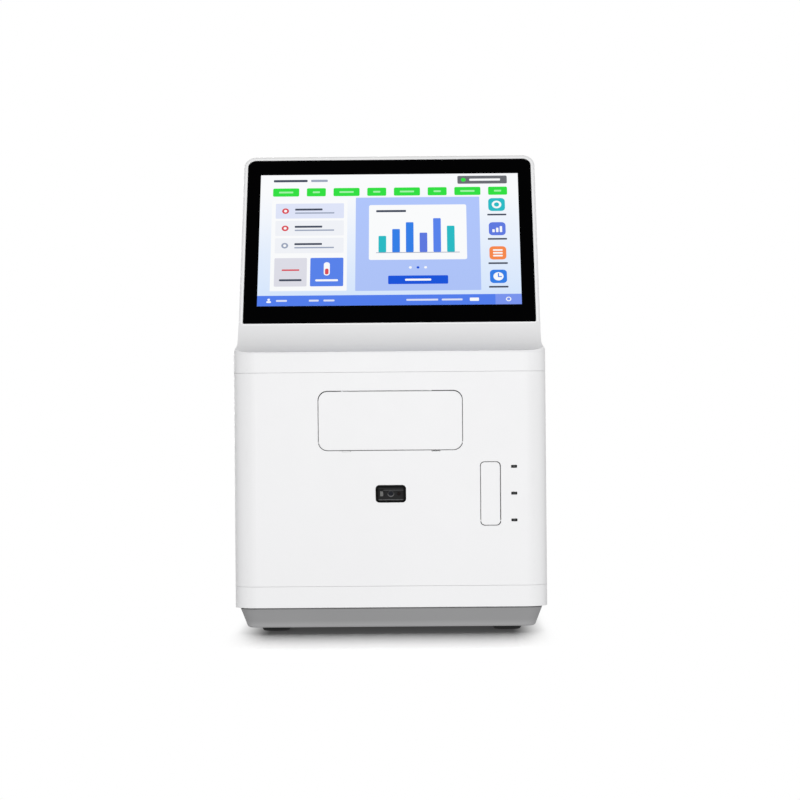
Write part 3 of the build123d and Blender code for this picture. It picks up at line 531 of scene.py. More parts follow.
class ANALYZER_OT_finishes(bpy.types.Operator):
    """Makes the finishes and gives every solid of the model its own"""
    bl_idname = "analyzer.finishes"
    bl_label = "Finishes"

    def execute(self, context):
        shell = context.scene.analyzer_shell
        white = tuple(shell.shell_colour)
        soft = shell.edge_radius
        MATERIALS.update({
            "white_shell": moulded("shell_white", white, 0.42, edge=soft, specular=0.3),
            # The base's grey is painted lighter towards its bottom: a painted highlight for the light that its
            # lower edge catches.
            "grey_base": paint_highlight_low(
                moulded("base_grey", tuple(shell.base_colour), 0.55, grain=1400, depth=1.2e-5,
                        edge=soft, drift=0.04), 4.3, 9.5, 1.32),
            "rear_plate": moulded("rear_powder", tuple(shell.rear_colour), 0.5, grain=1100, depth=2e-5,
                                  edge=soft, drift=0.02),
            "foot_rubber": moulded("foot_rubber", (0.018, 0.018, 0.019), 0.8, grain=900, depth=2e-5,
                                   edge=soft, drift=0.2, specular=0.3),
            "cover_glass": moulded("glass_black", (0.0006, 0.0006, 0.0008), 0.06, grain=30, depth=1e-7,
                                   drift=0.2, specular=0.005),
            "display": moulded("display_back", (0.25, 0.26, 0.28), 0.4),
            "sheet_steel": metal("sheet_steel", (0.58, 0.59, 0.6), 0.38, (1, 1, 14)),
            "black_plastic": moulded("moulding_black", (0.009, 0.009, 0.0095), 0.5, grain=1500,
                                     depth=1e-5, edge=soft, drift=0.15, specular=0.12),
            "grey_plastic": moulded("moulding_grey", (0.33, 0.34, 0.35), 0.45, edge=soft, drift=0.05),
            "cartridge_plastic": moulded("cartridge_pale", (0.62, 0.69, 0.77), 0.4, edge=soft, drift=0.03),
            "polished_steel": metal("steel_polished", (0.7, 0.7, 0.71), 0.16, (1, 12, 1)),
            "motor_metal": metal("motor_can", (0.42, 0.43, 0.44), 0.34, (14, 1, 1)),
            "print_head": metal("head_alloy", (0.5, 0.51, 0.52), 0.42, (18, 1, 1)),
            "platen_rubber": moulded("platen_rubber", (0.045, 0.045, 0.048), 0.7, grain=1600, depth=1.5e-5,
                                     drift=0.2),
            "paper": wound_paper("paper_white"),
            "board": circuit_board("board_green"),
            "lens_glass": moulded("lens_coated", (0.006, 0.007, 0.014), 0.05, grain=40, depth=1e-7, drift=0.3,
                                  specular=0.12),
            "light_pipe": moulded("pipe_smoked", (0.004, 0.004, 0.0045), 0.3, grain=60, depth=1e-6,
                                  drift=0.3, specular=0.06),
            "screw_steel": metal("screw_plated", (0.46, 0.46, 0.47), 0.3, (6, 6, 1)),
            "thread_steel": threaded("steel_threaded", (0.66, 0.66, 0.67), "Y", 0.8),
            "gold": metal("contact_gold", (0.83, 0.6, 0.24), 0.24, (1, 8, 1)),
        })
        for name, node in NODES.items():
            slot = node.material_slots[0]
            slot.material = MATERIALS[slot.material.name]
        NODES["probe_lead_screw"].material_slots[0].material = MATERIALS["thread_steel"]
        return {"FINISHED"}


# ---------------------------------------------------------------- head

class ANALYZER_OT_head(bpy.types.Operator):
    """Rounds the rim round the display, which the solid leaves sharp"""
    bl_idname = "analyzer.head"
    bl_label = "Head"

    def execute(self, context):
        half, top, corner, rounding = 123, 155.3, 10.5, 1.4
        head = copy_node("upper_housing", "head_shell")
        waste = plate("rim_waste", (-half - 9, half + 9, -18, top + 9), (-rounding, 6))
        kept = plate("rim_kept", (-half, half, -60, top), (-30, 0), corner, rounding, 12)
        cut(waste, kept)
        cut(head, settle(waste, DISPLAY))
        hand_over(paint(head, MATERIALS["white_shell"]), "cabinet", ["upper_housing"])

        # The ring round the glass and the sill under it are real raised rim parts; their whiter colour,
        # brighter than the shell, is a painted highlight for the band of light the rim catches.
        ring = open_through(plate("glass_ring", (-121.4, 121.4, -60, 153), (-0.3, 0.04), 8.9, steps=12), 1.5)
        cut(ring, plate("ring_foot", (-130, 130, -70, -17.6), (-2, 2)))
        ring = join(ring, plate("ring_sill", (-119.6, 119.6, -19.3, -17.7), (-0.3, 0.04)))
        paint(settle(ring, DISPLAY), moulded("ring_highlight_white", shade(254, 254, 255), 0.3))
        hand_over(ring, "cabinet")
        return {"FINISHED"}


# ---------------------------------------------------------------- printer

def toothed_wheel(name, middle, radius, teeth, width):
    """Small spur wheel whose axle lies along X."""
    clear_selection()
    bpy.ops.mesh.primitive_cylinder_add(
        vertices=4 * teeth, radius=(radius - 0.9) * MM, depth=width * MM)
    piece = bpy.context.object
    piece.name = name
    bpy.ops.object.mode_set(mode="EDIT")
    step = math.tau / (4 * teeth)
    pick_faces(piece, lambda spot, normal: abs(normal.z) < 0.1
               and int(round(math.atan2(spot.y, spot.x) / step - 0.5)) % 4 < 2)
    bpy.ops.mesh.extrude_region_shrink_fatten(TRANSFORM_OT_shrink_fatten={"value": 0.85 * MM})
    bpy.ops.object.mode_set(mode="OBJECT")
    sink(piece, lambda spot, normal: abs(normal.z) > 0.99, radius * 0.25, 0.3)
    return settle(piece, Matrix.Translation(Vector(middle) * MM) @ Matrix.Rotation(math.radians(90), 4, "Y"))


def ribbon(name, x0, x1, path, thickness):
    """Thin strip that follows a path of (y, z) points."""
    clear_selection()
    bpy.ops.mesh.primitive_plane_add(size=1)
    piece = bpy.context.object
    piece.name = name
    bpy.ops.object.mode_set(mode="EDIT")
    shape = bmesh.from_edit_mesh(piece.data)
    (y0, z0), (y1, z1) = path[0], path[1]
    for vertex in shape.verts:
        y, z = (y0, z0) if vertex.co.y < 0 else (y1, z1)
        vertex.co = Vector((x0 if vertex.co.x < 0 else x1, y, z)) * MM
    bmesh.update_edit_mesh(piece.data)
    for here, there in zip(path[1:], path[2:]):
        pick_edges(piece, lambda spot, way: abs(way.x) > 0.99
                   and (spot - Vector((spot.x, here[0] * MM, here[1] * MM))).length < 1e-6)
        step = (0, (there[0] - here[0]) * MM, (there[1] - here[1]) * MM)
        bpy.ops.mesh.extrude_region_move(TRANSFORM_OT_translate={"value": step})
    bpy.ops.mesh.select_all(action="SELECT")
    bpy.ops.mesh.normals_make_consistent(inside=False)
    bpy.ops.object.mode_set(mode="OBJECT")
    modifier = piece.modifiers.new("thickness", "SOLIDIFY")
    modifier.thickness = thickness * MM
    modifier.offset = 0
    bpy.ops.object.modifier_apply(modifier="thickness")
    return piece


def front_door(name, span, corner, pin_spots, gap_shade_finish):
    """Flush door in the front panel: soft edges, a lip in its gap and a stub pin at each end; the lip's darker
    finish is painted shade that sets the tone of the gap line.
    """
    leaf = plate(name, span, (-3, 0), corner, edge=0.35, steps=8)
    sink(leaf, lambda spot, normal: normal.z < -0.99, 2.4, 0.8)
    paint(settle(leaf, FRONT), MATERIALS["white_shell"])
    x0, x1, z0, z1 = span
    # The lip is a real part; its darker finish is painted shade for the gap.
    lip = plate(name + "_lip", (x0 - 0.2, x1 + 0.2, z0 - 0.2, z1 + 0.2), (-2.4, -0.8), corner + 0.2, steps=8)
    open_through(lip, 1.2)
    leaf = join(leaf, paint(settle(lip, FRONT), gap_shade_finish))
    pins = [paint(rod(name + "_pin", start, end, 0.75, edge=0.15), MATERIALS["white_shell"])
            for start, end in pin_spots]
    return join(leaf, *pins)


class ANALYZER_OT_printer(bpy.types.Operator):
    """Makes the printer's door, its paper and its running gear"""
    bl_idname = "analyzer.printer"
    bl_label = "Printer"

    def execute(self, context):
        pin_y, pin_z = -153.5, 152.85
        # The door's lip takes the grey plastic: painted shade for the gap line.
        door = front_door("printer_door_leaf", (-57.25, 58.25, 146.85, 193.95), 7.35, [
            ((-59.5, pin_y, pin_z), (-56, pin_y, pin_z)), ((57, pin_y, pin_z), (60.5, pin_y, pin_z))],
            MATERIALS["grey_plastic"])
        hand_over(door, "paper_door", ["printer_door"])
        stops = [settle(plate("notch_stop", span, (-3, -0.3), 0.2, 0.1), FRONT)
                 for span in ((-38.3, -31.7, 145.5, 146.3), (33.7, 40.3, 145.5, 145.96))]
        hand_over(paint(join(*stops), MATERIALS["white_shell"]), "cabinet")

        web = ribbon("paper_web", -34.5, 22.5, [
            (-136.4, 165), (-138.4, 172), (-140.6, 178), (-141.45, 181.5), (-141.45, 188),
            (-142.3, 190.3), (-144.2, 191.8), (-146.6, 192.2), (-149.5, 193.2), (-152.6, 194.2)], 0.08)
        paint(web, MATERIALS["paper"])
        hand_over(web, "cabinet")

        platen_y, platen_z = -146.0, 187.5
        sleeve = rod("platen_sleeve", (-35, platen_y, platen_z), (23, platen_y, platen_z), 4.5, 0.3, 48)
        paint(sleeve, MATERIALS["platen_rubber"])
        shaft = paint(rod("platen_shaft", (-39.5, platen_y, platen_z), (31.8, platen_y, platen_z), 2, 0.3),
                      MATERIALS["polished_steel"])
        wheel = paint(toothed_wheel("platen_wheel", (29.8, platen_y, platen_z), 6, 24, 3),
                      MATERIALS["grey_plastic"])
        hand_over(join(sleeve, shaft, wheel), "platen", ["platen_roller"])

        low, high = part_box("feed_pinion")
        middle = (low + high) / 2 / MM
        pinion = paint(toothed_wheel("feed_pinion_wheel", (29.8, middle.y, middle.z), 3, 12, 3),
                       MATERIALS["polished_steel"])
        axle = paint(rod("feed_axle", (27.8, middle.y, middle.z), (37, middle.y, middle.z), 1, 0.15),
                     MATERIALS["polished_steel"])
        hand_over(join(pinion, axle), "feed_gear", ["feed_pinion"])

        tear_bar = plate("tear_bar", (-56, 57, 194.85, 195.0), (-8, -3.1), 0)
        paint(settle(tear_bar, FRONT), MATERIALS["polished_steel"])
        hand_over(tear_bar, "cabinet")
        return {"FINISHED"}


# ---------------------------------------------------------------- scanner

class ANALYZER_OT_scanner(bpy.types.Operator):
    """Makes the code scanner's frame, its lamp, its lens barrel and its aiming window"""
    bl_idname = "analyzer.scanner"
    bl_label = "Code scanner"

    def execute(self, context):
        x, z = 0.45, 111.65
        black = MATERIALS["black_plastic"]
        bezel = plate("scan_frame", (x - 12.15, x + 12.15, z - 6.95, z + 6.95), (-9, 0), 2.9, 0.4, 8)
        open_through(bezel, 1.5)
        paint(settle(bezel, FRONT), moulded("bezel_black", (0.0025, 0.0025, 0.0025), 0.5, edge=0.0002,
                                            specular=0.04))
        collar = plate("scan_collar", (x - 15, x + 15, z - 9.5, z + 9.5), (-4.5, -3.05), 2)
        open_through(collar, 3)
        paint(settle(collar, FRONT), black)
        hand_over(join(bezel, collar), "cabinet", ["scanner_bezel"])

        hood = plate("scan_hood", (x - 10.6, x + 10.6, z + 3.4, z + 5.3), (-9, -1.2), 0.4, 0.3)
        paint(settle(hood, FRONT), black)
        # The sill along the window's bottom is a real part; its grey, lighter than the black round it, is a
        # painted highlight for the light that its edge catches.
        sill = plate("scan_sill", (x - 10.2, x + 10.2, z - 5.3, z - 4.5), (-9, -0.9), 0.3, 0.2)
        paint(settle(sill, FRONT), moulded("sill_highlight_grey", (0.05, 0.05, 0.052), 0.4))
        brow = plate("scan_brow", (x - 6, x + 10.3, z + 2.3, z + 3.4), (-9, -2), 0.3, 0.2)
        paint(settle(brow, FRONT), moulded("brow_grey", (0.03, 0.03, 0.031), 0.4, specular=0.2))
        hand_over(join(hood, sill, brow), "cabinet")

        lamp = plate("scan_lamp", (x - 10.6, x - 6.2, z - 2.4, z + 1.9), (-3.5, -2.9), 0.9, 0.15)
        sink(lamp, lambda spot, normal: normal.z > 0.99, 0.7, 0.2)
        paint(settle(lamp, FRONT), moulded("lamp_phosphor", (0.15, 0.15, 0.145), 0.35, drift=0.2, specular=0.2))
        hand_over(lamp, "cabinet")

        barrel = rod("scan_barrel", (x, -152.25, z), (x, -151.2, z), 2.55, 0.2, 48)
        sink(barrel, lambda spot, normal: normal.y < -0.99, 0.55, 0.7)
        paint(barrel, moulded("barrel_black", (0.02, 0.02, 0.021), 0.35, drift=0.1, specular=0.12))
        hand_over(barrel, "cabinet")

        # Crescent of lighter grey under the lens: a painted glint for the crescent of light on the barrel's
        # lower rim.
        lip = rod("lens_glint_lip", (x, -152.65, z), (x, -152.25, z), 2.7, sides=48)
        cut(lip, rod("glint_lip_hollow", (x, -154, z + 0.9), (x, -151, z + 0.9), 2.6, sides=48))
        paint(lip, moulded("glint_grey", (0.085, 0.085, 0.087), 0.4, drift=0.1, specular=0.2))
        hand_over(lip, "cabinet")

        aimer = rod("scan_aimer", (x + 6.4, -151.9, z), (x + 6.4, -150.8, z), 1.4, 0.2, 32)
        paint(aimer, moulded("aimer_dark", (0.007, 0.003, 0.003), 0.35, drift=0.2, specular=0.05))
        hand_over(aimer, "cabinet")
        return {"FINISHED"}


# ---------------------------------------------------------------- sampling side

class ANALYZER_OT_sampling(bpy.types.Operator):
    """Makes the sampling flap, the status lights and the probe's seal"""
    bl_idname = "analyzer.sampling"
    bl_label = "Sampling flap and lights"

    def execute(self, context):
        pin_y, pin_z = -153.5, 89.55
        # The flap's lip is painted darker still: painted shade for its darker gap line.
        flap = front_door("flap_leaf", (72.75, 88.2, 86.05, 136.55), 3.25, [
            ((70.5, pin_y, pin_z), (74, pin_y, pin_z)), ((87, pin_y, pin_z), (90.6, pin_y, pin_z))],
            moulded("gap_shade_dark", (0.08, 0.08, 0.082), 0.5))
        hand_over(flap, "flap", ["sampling_flap"])

        core = moulded("light_core", (0.05, 0.052, 0.054), 0.3, drift=0.2, specular=0.1)
        parts = []
        for z in (132.9, 111.4, 89.9):
            pipe = plate("light_pipe", (97.2, 101.9, z - 1.05, z + 1.05), (-9, -0.05), 0.5, 0.2)
            parts.append(paint(settle(pipe, FRONT), MATERIALS["light_pipe"]))
            eye = plate("light_eye", (98.3, 100.8, z - 0.5, z + 0.5), (-0.4, -0.03), 0.3, 0.01)
            parts.append(paint(settle(eye, FRONT), core))
        hand_over(join(*parts), "cabinet", ["status_lights"])

        seal = rod("probe_seal", (80.55, -136.6, 118), (80.55, -135.9, 118), 4.9, 0.15, 48)
        sink(seal, lambda spot, normal: normal.y < -0.99, 1.7, 0.4)
        cut(seal, rod("seal_hole", (80.55, -138, 118), (80.55, -134, 118), 3.15, 0, 48))
        hand_over(paint(seal, MATERIALS["platen_rubber"]), "cabinet")
        return {"FINISHED"}


# ---------------------------------------------------------------- display

def tile(name, span, level, corner, material):
    """Thin layer of the display's picture; level 0 lies on the glass and each level is on the last."""
    face = -0.17 + 0.03 * level
    return paint(settle(plate(name, span, (face - 0.05, face), corner, steps=4), DISPLAY), material)


def dot(name, x, u, radius, level, material):
    """Round spot of the display's picture."""
    face = -0.17 + 0.03 * level
    return paint(settle(rod(name, (x, u, face - 0.05), (x, u, face), radius, 0, 28), DISPLAY), material)


class ANALYZER_OT_screen(bpy.types.Operator):
    """Lays out the lit display under the glass"""
    bl_idname = "analyzer.screen"
    bl_label = "Display"

    def execute(self, context):
        screen = context.scene.analyzer_screen
        half = screen.lit_width / MM / 2
        top = screen.lit_height / MM
        glow = screen.brightness
        high, low = tuple(screen.high_colour), tuple(screen.low_colour)

        def tone(name, red, green, blue, fall=0.94):
            colour = shade(red, green, blue)
            return lit(name, colour, scaled(colour, fall), glow)

        tones = {
            "white": tone("screen_white", 253, 254, 255, 0.98),
            "pale": tone("screen_pale", 226, 232, 252),
            "mist": tone("screen_mist", 243, 245, 250, 0.98),
            "slate": tone("screen_slate", 106, 108, 114),
            "ink": tone("screen_ink", 66, 74, 92),
            "soft_ink": tone("screen_soft_ink", 158, 168, 190),
            "green": tone("screen_green", 44, 226, 62),
            "green_pale": tone("screen_green_pale", 164, 246, 170),
            "tile_blue": tone("screen_tile_blue", 88, 132, 240),
            "tile_grey": tone("screen_tile_grey", 226, 226, 236),
            "panel": tone("screen_panel", 178, 200, 255),
            "bar": tone("screen_bar", 82, 128, 244),
            "bar_light": tone("screen_bar_light", 124, 152, 246),
            "button": tone("screen_button", 10, 84, 224),
            "teal": tone("screen_teal", 34, 190, 200),
            "orange": tone("screen_orange", 252, 138, 74),
            "violet": tone("screen_violet", 94, 122, 228),
            "blue": tone("screen_blue", 48, 128, 236),
            "red": tone("screen_red", 222, 74, 84),
        }
        backdrop = tile("screen_backdrop", (-half, half, 0, top), 0, 0,
                        lit("screen_sky", high, low, glow, streaks=0.22))
        hand_over(backdrop, "cabinet")
        self.header(tones)
        self.menu(tones)
        self.chart(tones)
        self.shortcuts(tones)
        self.footer(tones, half)
        return {"FINISHED"}

    @staticmethod
    def header(tones):
        """State badge, a caption and the row of measurement chips."""
        parts = [tile("badge", (57.5, 99.2, 124.8, 133.2), 1, 1.2, tones["slate"]),
                 dot("badge_lamp", 62.5, 129, 2, 2, tones["green"]),
                 tile("badge_words", (67.5, 93.5, 127.9, 130.1), 2, 0.6, tones["white"]),
                 tile("caption", (-97.5, -69, 128, 130.4), 1, 0.6, tones["ink"]),
                 tile("caption_end", (-66, -52, 128, 130.4), 1, 0.6, tones["soft_ink"])]
        left = -97.9
        for number in range(8):
            width = 22 if number % 2 == 0 else 16
            parts.append(tile("chip", (left, left + width, 112.8, 121.4), 1, 1.2, tones["green"]))
            parts.append(tile("chip_word", (left + 5, left + width - 5, 116.2, 118), 2, 0.5,
                              tones["green_pale"]))
            left += width + 6.44
        hand_over(join(*parts), "cabinet")

    @staticmethod
    def menu(tones):
        """White card with three rows above two square tiles."""
        parts = [tile("card", (-98.5, -35.1, 15, 108.7), 1, 0.6, tones["white"])]
        for u, fill, spot in ((89.6, "pale", "red"), (71.6, "mist", "red"), (53.6, "mist", "soft_ink")):
            parts.append(tile("row", (-95.2, -38, u, u + 15.6), 2, 0.8, tones[fill]))
            parts.append(dot("row_spot", -87, u + 7.8, 2.9, 3, tones[spot]))
            parts.append(dot("row_spot_middle", -87, u + 7.8, 1.3, 4, tones["white"]))
            parts.append(tile("row_word", (-79, -56, u + 8.3, u + 10.3), 3, 0.6, tones["ink"]))
            parts.append(tile("row_note", (-79, -46, u + 4.9, u + 6.3), 3, 0.5, tones["soft_ink"]))
        parts += [tile("tile_left", (-95.2, -68.2, 19.6, 48.6), 2, 1, tones["tile_grey"]),
                  tile("tile_right", (-65.4, -38, 19.6, 48.6), 2, 1, tones["tile_blue"]),
                  tile("tile_line", (-89, -74.4, 35.5, 37), 3, 0.5, tones["red"]),
                  tile("tile_left_word", (-91, -72.4, 25, 27), 3, 0.6, tones["ink"]),
                  tile("tube", (-54.2, -49.2, 30.5, 44), 3, 2.3, tones["white"]),
                  tile("tube_fill", (-53.2, -50.2, 31.6, 37.5), 4, 1.3, tones["red"]),
                  tile("tile_right_word", (-61, -42.4, 24.6, 26.6), 3, 0.6, tones["white"])]
        hand_over(join(*parts), "cabinet")

    @staticmethod
    def chart(tones):
        """Blue panel with a bar chart on a card, pager dots and the start button."""
        parts = [tile("panel", (-28.1, 75.6, 14.6, 111), 1, 0.6, tones["panel"]),
                 tile("chart_card", (-17, 64.5, 46, 103), 2, 1.6, tones["white"]),
                 tile("chart_axis", (-11, 58.5, 53, 53.7), 3, 0, tones["soft_ink"]),
                 tile("chart_title", (-11, 14, 95.4, 97.6), 3, 0.6, tones["ink"]),
                 tile("button", (-1, 48.5, 21.2, 29.8), 2, 1, tones["button"]),
                 tile("button_word", (13, 34.5, 24.5, 26.5), 3, 0.6, tones["white"])]
        for number, (rise, fill) in enumerate((
                (17, "teal"), (24, "blue"), (31, "blue"), (20, "violet"), (35, "tile_blue"), (27, "teal"))):
            left = -9 + number * 11.4
            parts.append(tile("chart_bar", (left, left + 6.4, 53.7, 53.7 + rise), 3, 0.8, tones[fill]))
        for x, fill in ((17.4, "white"), (23.7, "button"), (30, "white")):
            parts.append(dot("pager", x, 38, 1.2, 2, tones[fill]))
        hand_over(join(*parts), "cabinet")

    @staticmethod
    def shortcuts(tones):
        """Column of four buttons, each with its own simple sign and a caption."""
        parts = []
        for u, fill in ((102.5, "teal"), (77.2, "violet"), (52.2, "orange"), (28.2, "blue")):
            parts.append(tile("shortcut", (83, 97, u - 6.8, u + 6.8), 1, 3.2, tones[fill]))
            parts.append(tile("shortcut_word", (82, 98, u - 11.4, u - 9.7), 1, 0.5, tones["ink"]))
        parts += [dot("sign_ring", 90, 102.5, 4, 2, tones["white"]),
                  dot("sign_hole", 90, 102.5, 2.2, 3, tones["teal"]),
                  dot("sign_round", 90, 28.2, 4.2, 2, tones["white"]),
                  tile("sign_hand", (89.5, 90.5, 27.8, 31.4), 3, 0.2, tones["blue"]),
                  tile("sign_foot", (89.5, 92.8, 27.4, 28.4), 3, 0.2, tones["blue"])]
        for step in (-1, 0, 1):
            parts.append(tile("sign_step", (90 + 3.1 * step - 1, 90 + 3.1 * step + 1, 73.6,
                                            78.2 + 1.6 * step), 2, 0.5, tones["white"]))
            parts.append(tile("sign_shelf", (86, 94, 51.4 + 2.9 * step, 53 + 2.9 * step), 2, 0.5,
                              tones["white"]))
        hand_over(join(*parts), "cabinet")

    @staticmethod
    def footer(tones, half):
        """Blue bar along the bottom with a lighter tab and small marks."""
        parts = [tile("bar", (-half, half, 0, 10.4), 1, 0, tones["bar"]),
                 tile("bar_tab", (87, half, 0, 10.4), 2, 0, tones["bar_light"]),
                 dot("tab_ring", 97.8, 5.2, 2.2, 3, tones["white"]),
                 dot("tab_hole", 97.8, 5.2, 1.4, 4, tones["bar_light"]),
                 dot("user", -99, 6.4, 1.1, 2, tones["white"]),
                 tile("user_coat", (-100.9, -97.1, 3.2, 5), 2, 0.8, tones["white"]),
                 tile("battery", (66, 73.5, 3.6, 6.9), 2, 0.5, tones["white"])]
        for left, right in ((-93, -84), (-66, -58), (-54, -45), (14, 40), (43, 60)):
            parts.append(tile("bar_word", (left, right, 4.3, 6.1), 2, 0.5, tones["pale"]))
        hand_over(join(*parts), "cabinet")


# ---------------------------------------------------------------- reagent side

class ANALYZER_OT_reagents(bpy.types.Operator):
    """Makes the side door's finger grip and the reagent cartridge's face"""
    bl_idname = "analyzer.reagents"
    bl_label = "Reagent side"

    def execute(self, context):
        door = copy_node("cartridge_door", "side_door_leaf")
        scoop = plate("scoop", (-41, -33, 97, 133), (-1.3, 2), 3.9, steps=8)
        cut(door, settle(scoop, SIDE))
        paint(door, MATERIALS["white_shell"])
        hand_over(door, "side_door", ["cartridge_door"])

        low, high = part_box("reagent_cartridge")
        face = (high.x - CAD_BOX[1].x) / MM
        band = plate("cartridge_band", (-24, 52, 140, 160), (face - 0.4, face + 0.25), 3, 0.1)
        paint(settle(band, SIDE), moulded("band_blue", shade(84, 132, 214), 0.35, drift=0.05))
        hand_over(band, "cartridge")
        grip = plate("cartridge_grip_bar", (-7.4, 35.4, 111.5, 118.5), (face - 7, face - 1), 3.2, 0.8)
        paint(settle(grip, SIDE), MATERIALS["cartridge_plastic"])
        hand_over(grip, "cartridge")
        window = plate("cartridge_window", (-22, 50, 70, 92), (face - 0.4, face + 0.25), 3, 0.1)
        sink(window, lambda spot, normal: normal.z > 0.99, 1.2, 0.3)
        paint(settle(window, SIDE), moulded("window_smoke", (0.08, 0.1, 0.13), 0.1, drift=0.1))
        levels = []
        for number, (rise, colour) in enumerate((
                (14, (0.05, 0.16, 0.4)), (10, (0.45, 0.1, 0.1)), (15, (0.1, 0.35, 0.2)),
                (8, (0.5, 0.36, 0.08)), (12, (0.25, 0.12, 0.4)))):
            left = -19 + number * 13.6
            level = plate("level", (left, left + 11, 73, 73 + rise), (face - 0.1, face + 0.12), 1)
            levels.append(paint(settle(level, SIDE), moulded("reagent_" + str(number), colour, 0.2)))
        hand_over(join(window, *levels), "cartridge")
        return {"FINISHED"}


# ---------------------------------------------------------------- rear

def cross_screw(name, radius, head, shank_radius, length):
    """Screw with a crossed recess: its head's face is at height 0 and its shank points down."""
    screw = rod(name, (0, 0, -head), (0, 0, 0), radius, 0.25, 32)
    for span in ((-radius * 0.62, radius * 0.62, -0.28, 0.28), (-0.28, 0.28, -radius * 0.62, radius * 0.62)):
        cut(screw, plate("recess", span, (-head * 0.7, 0.5)))
    shank = rod(name + "_shank", (0, 0, -length), (0, 0, -head), shank_radius, 0, 20)
    return paint(join(screw, shank), MATERIALS["screw_steel"])


def at_rear(x0, x1, z0, z1):
    """Span on the rear place, whose own x runs the other way."""
    return (-x1, -x0, z0, z1)


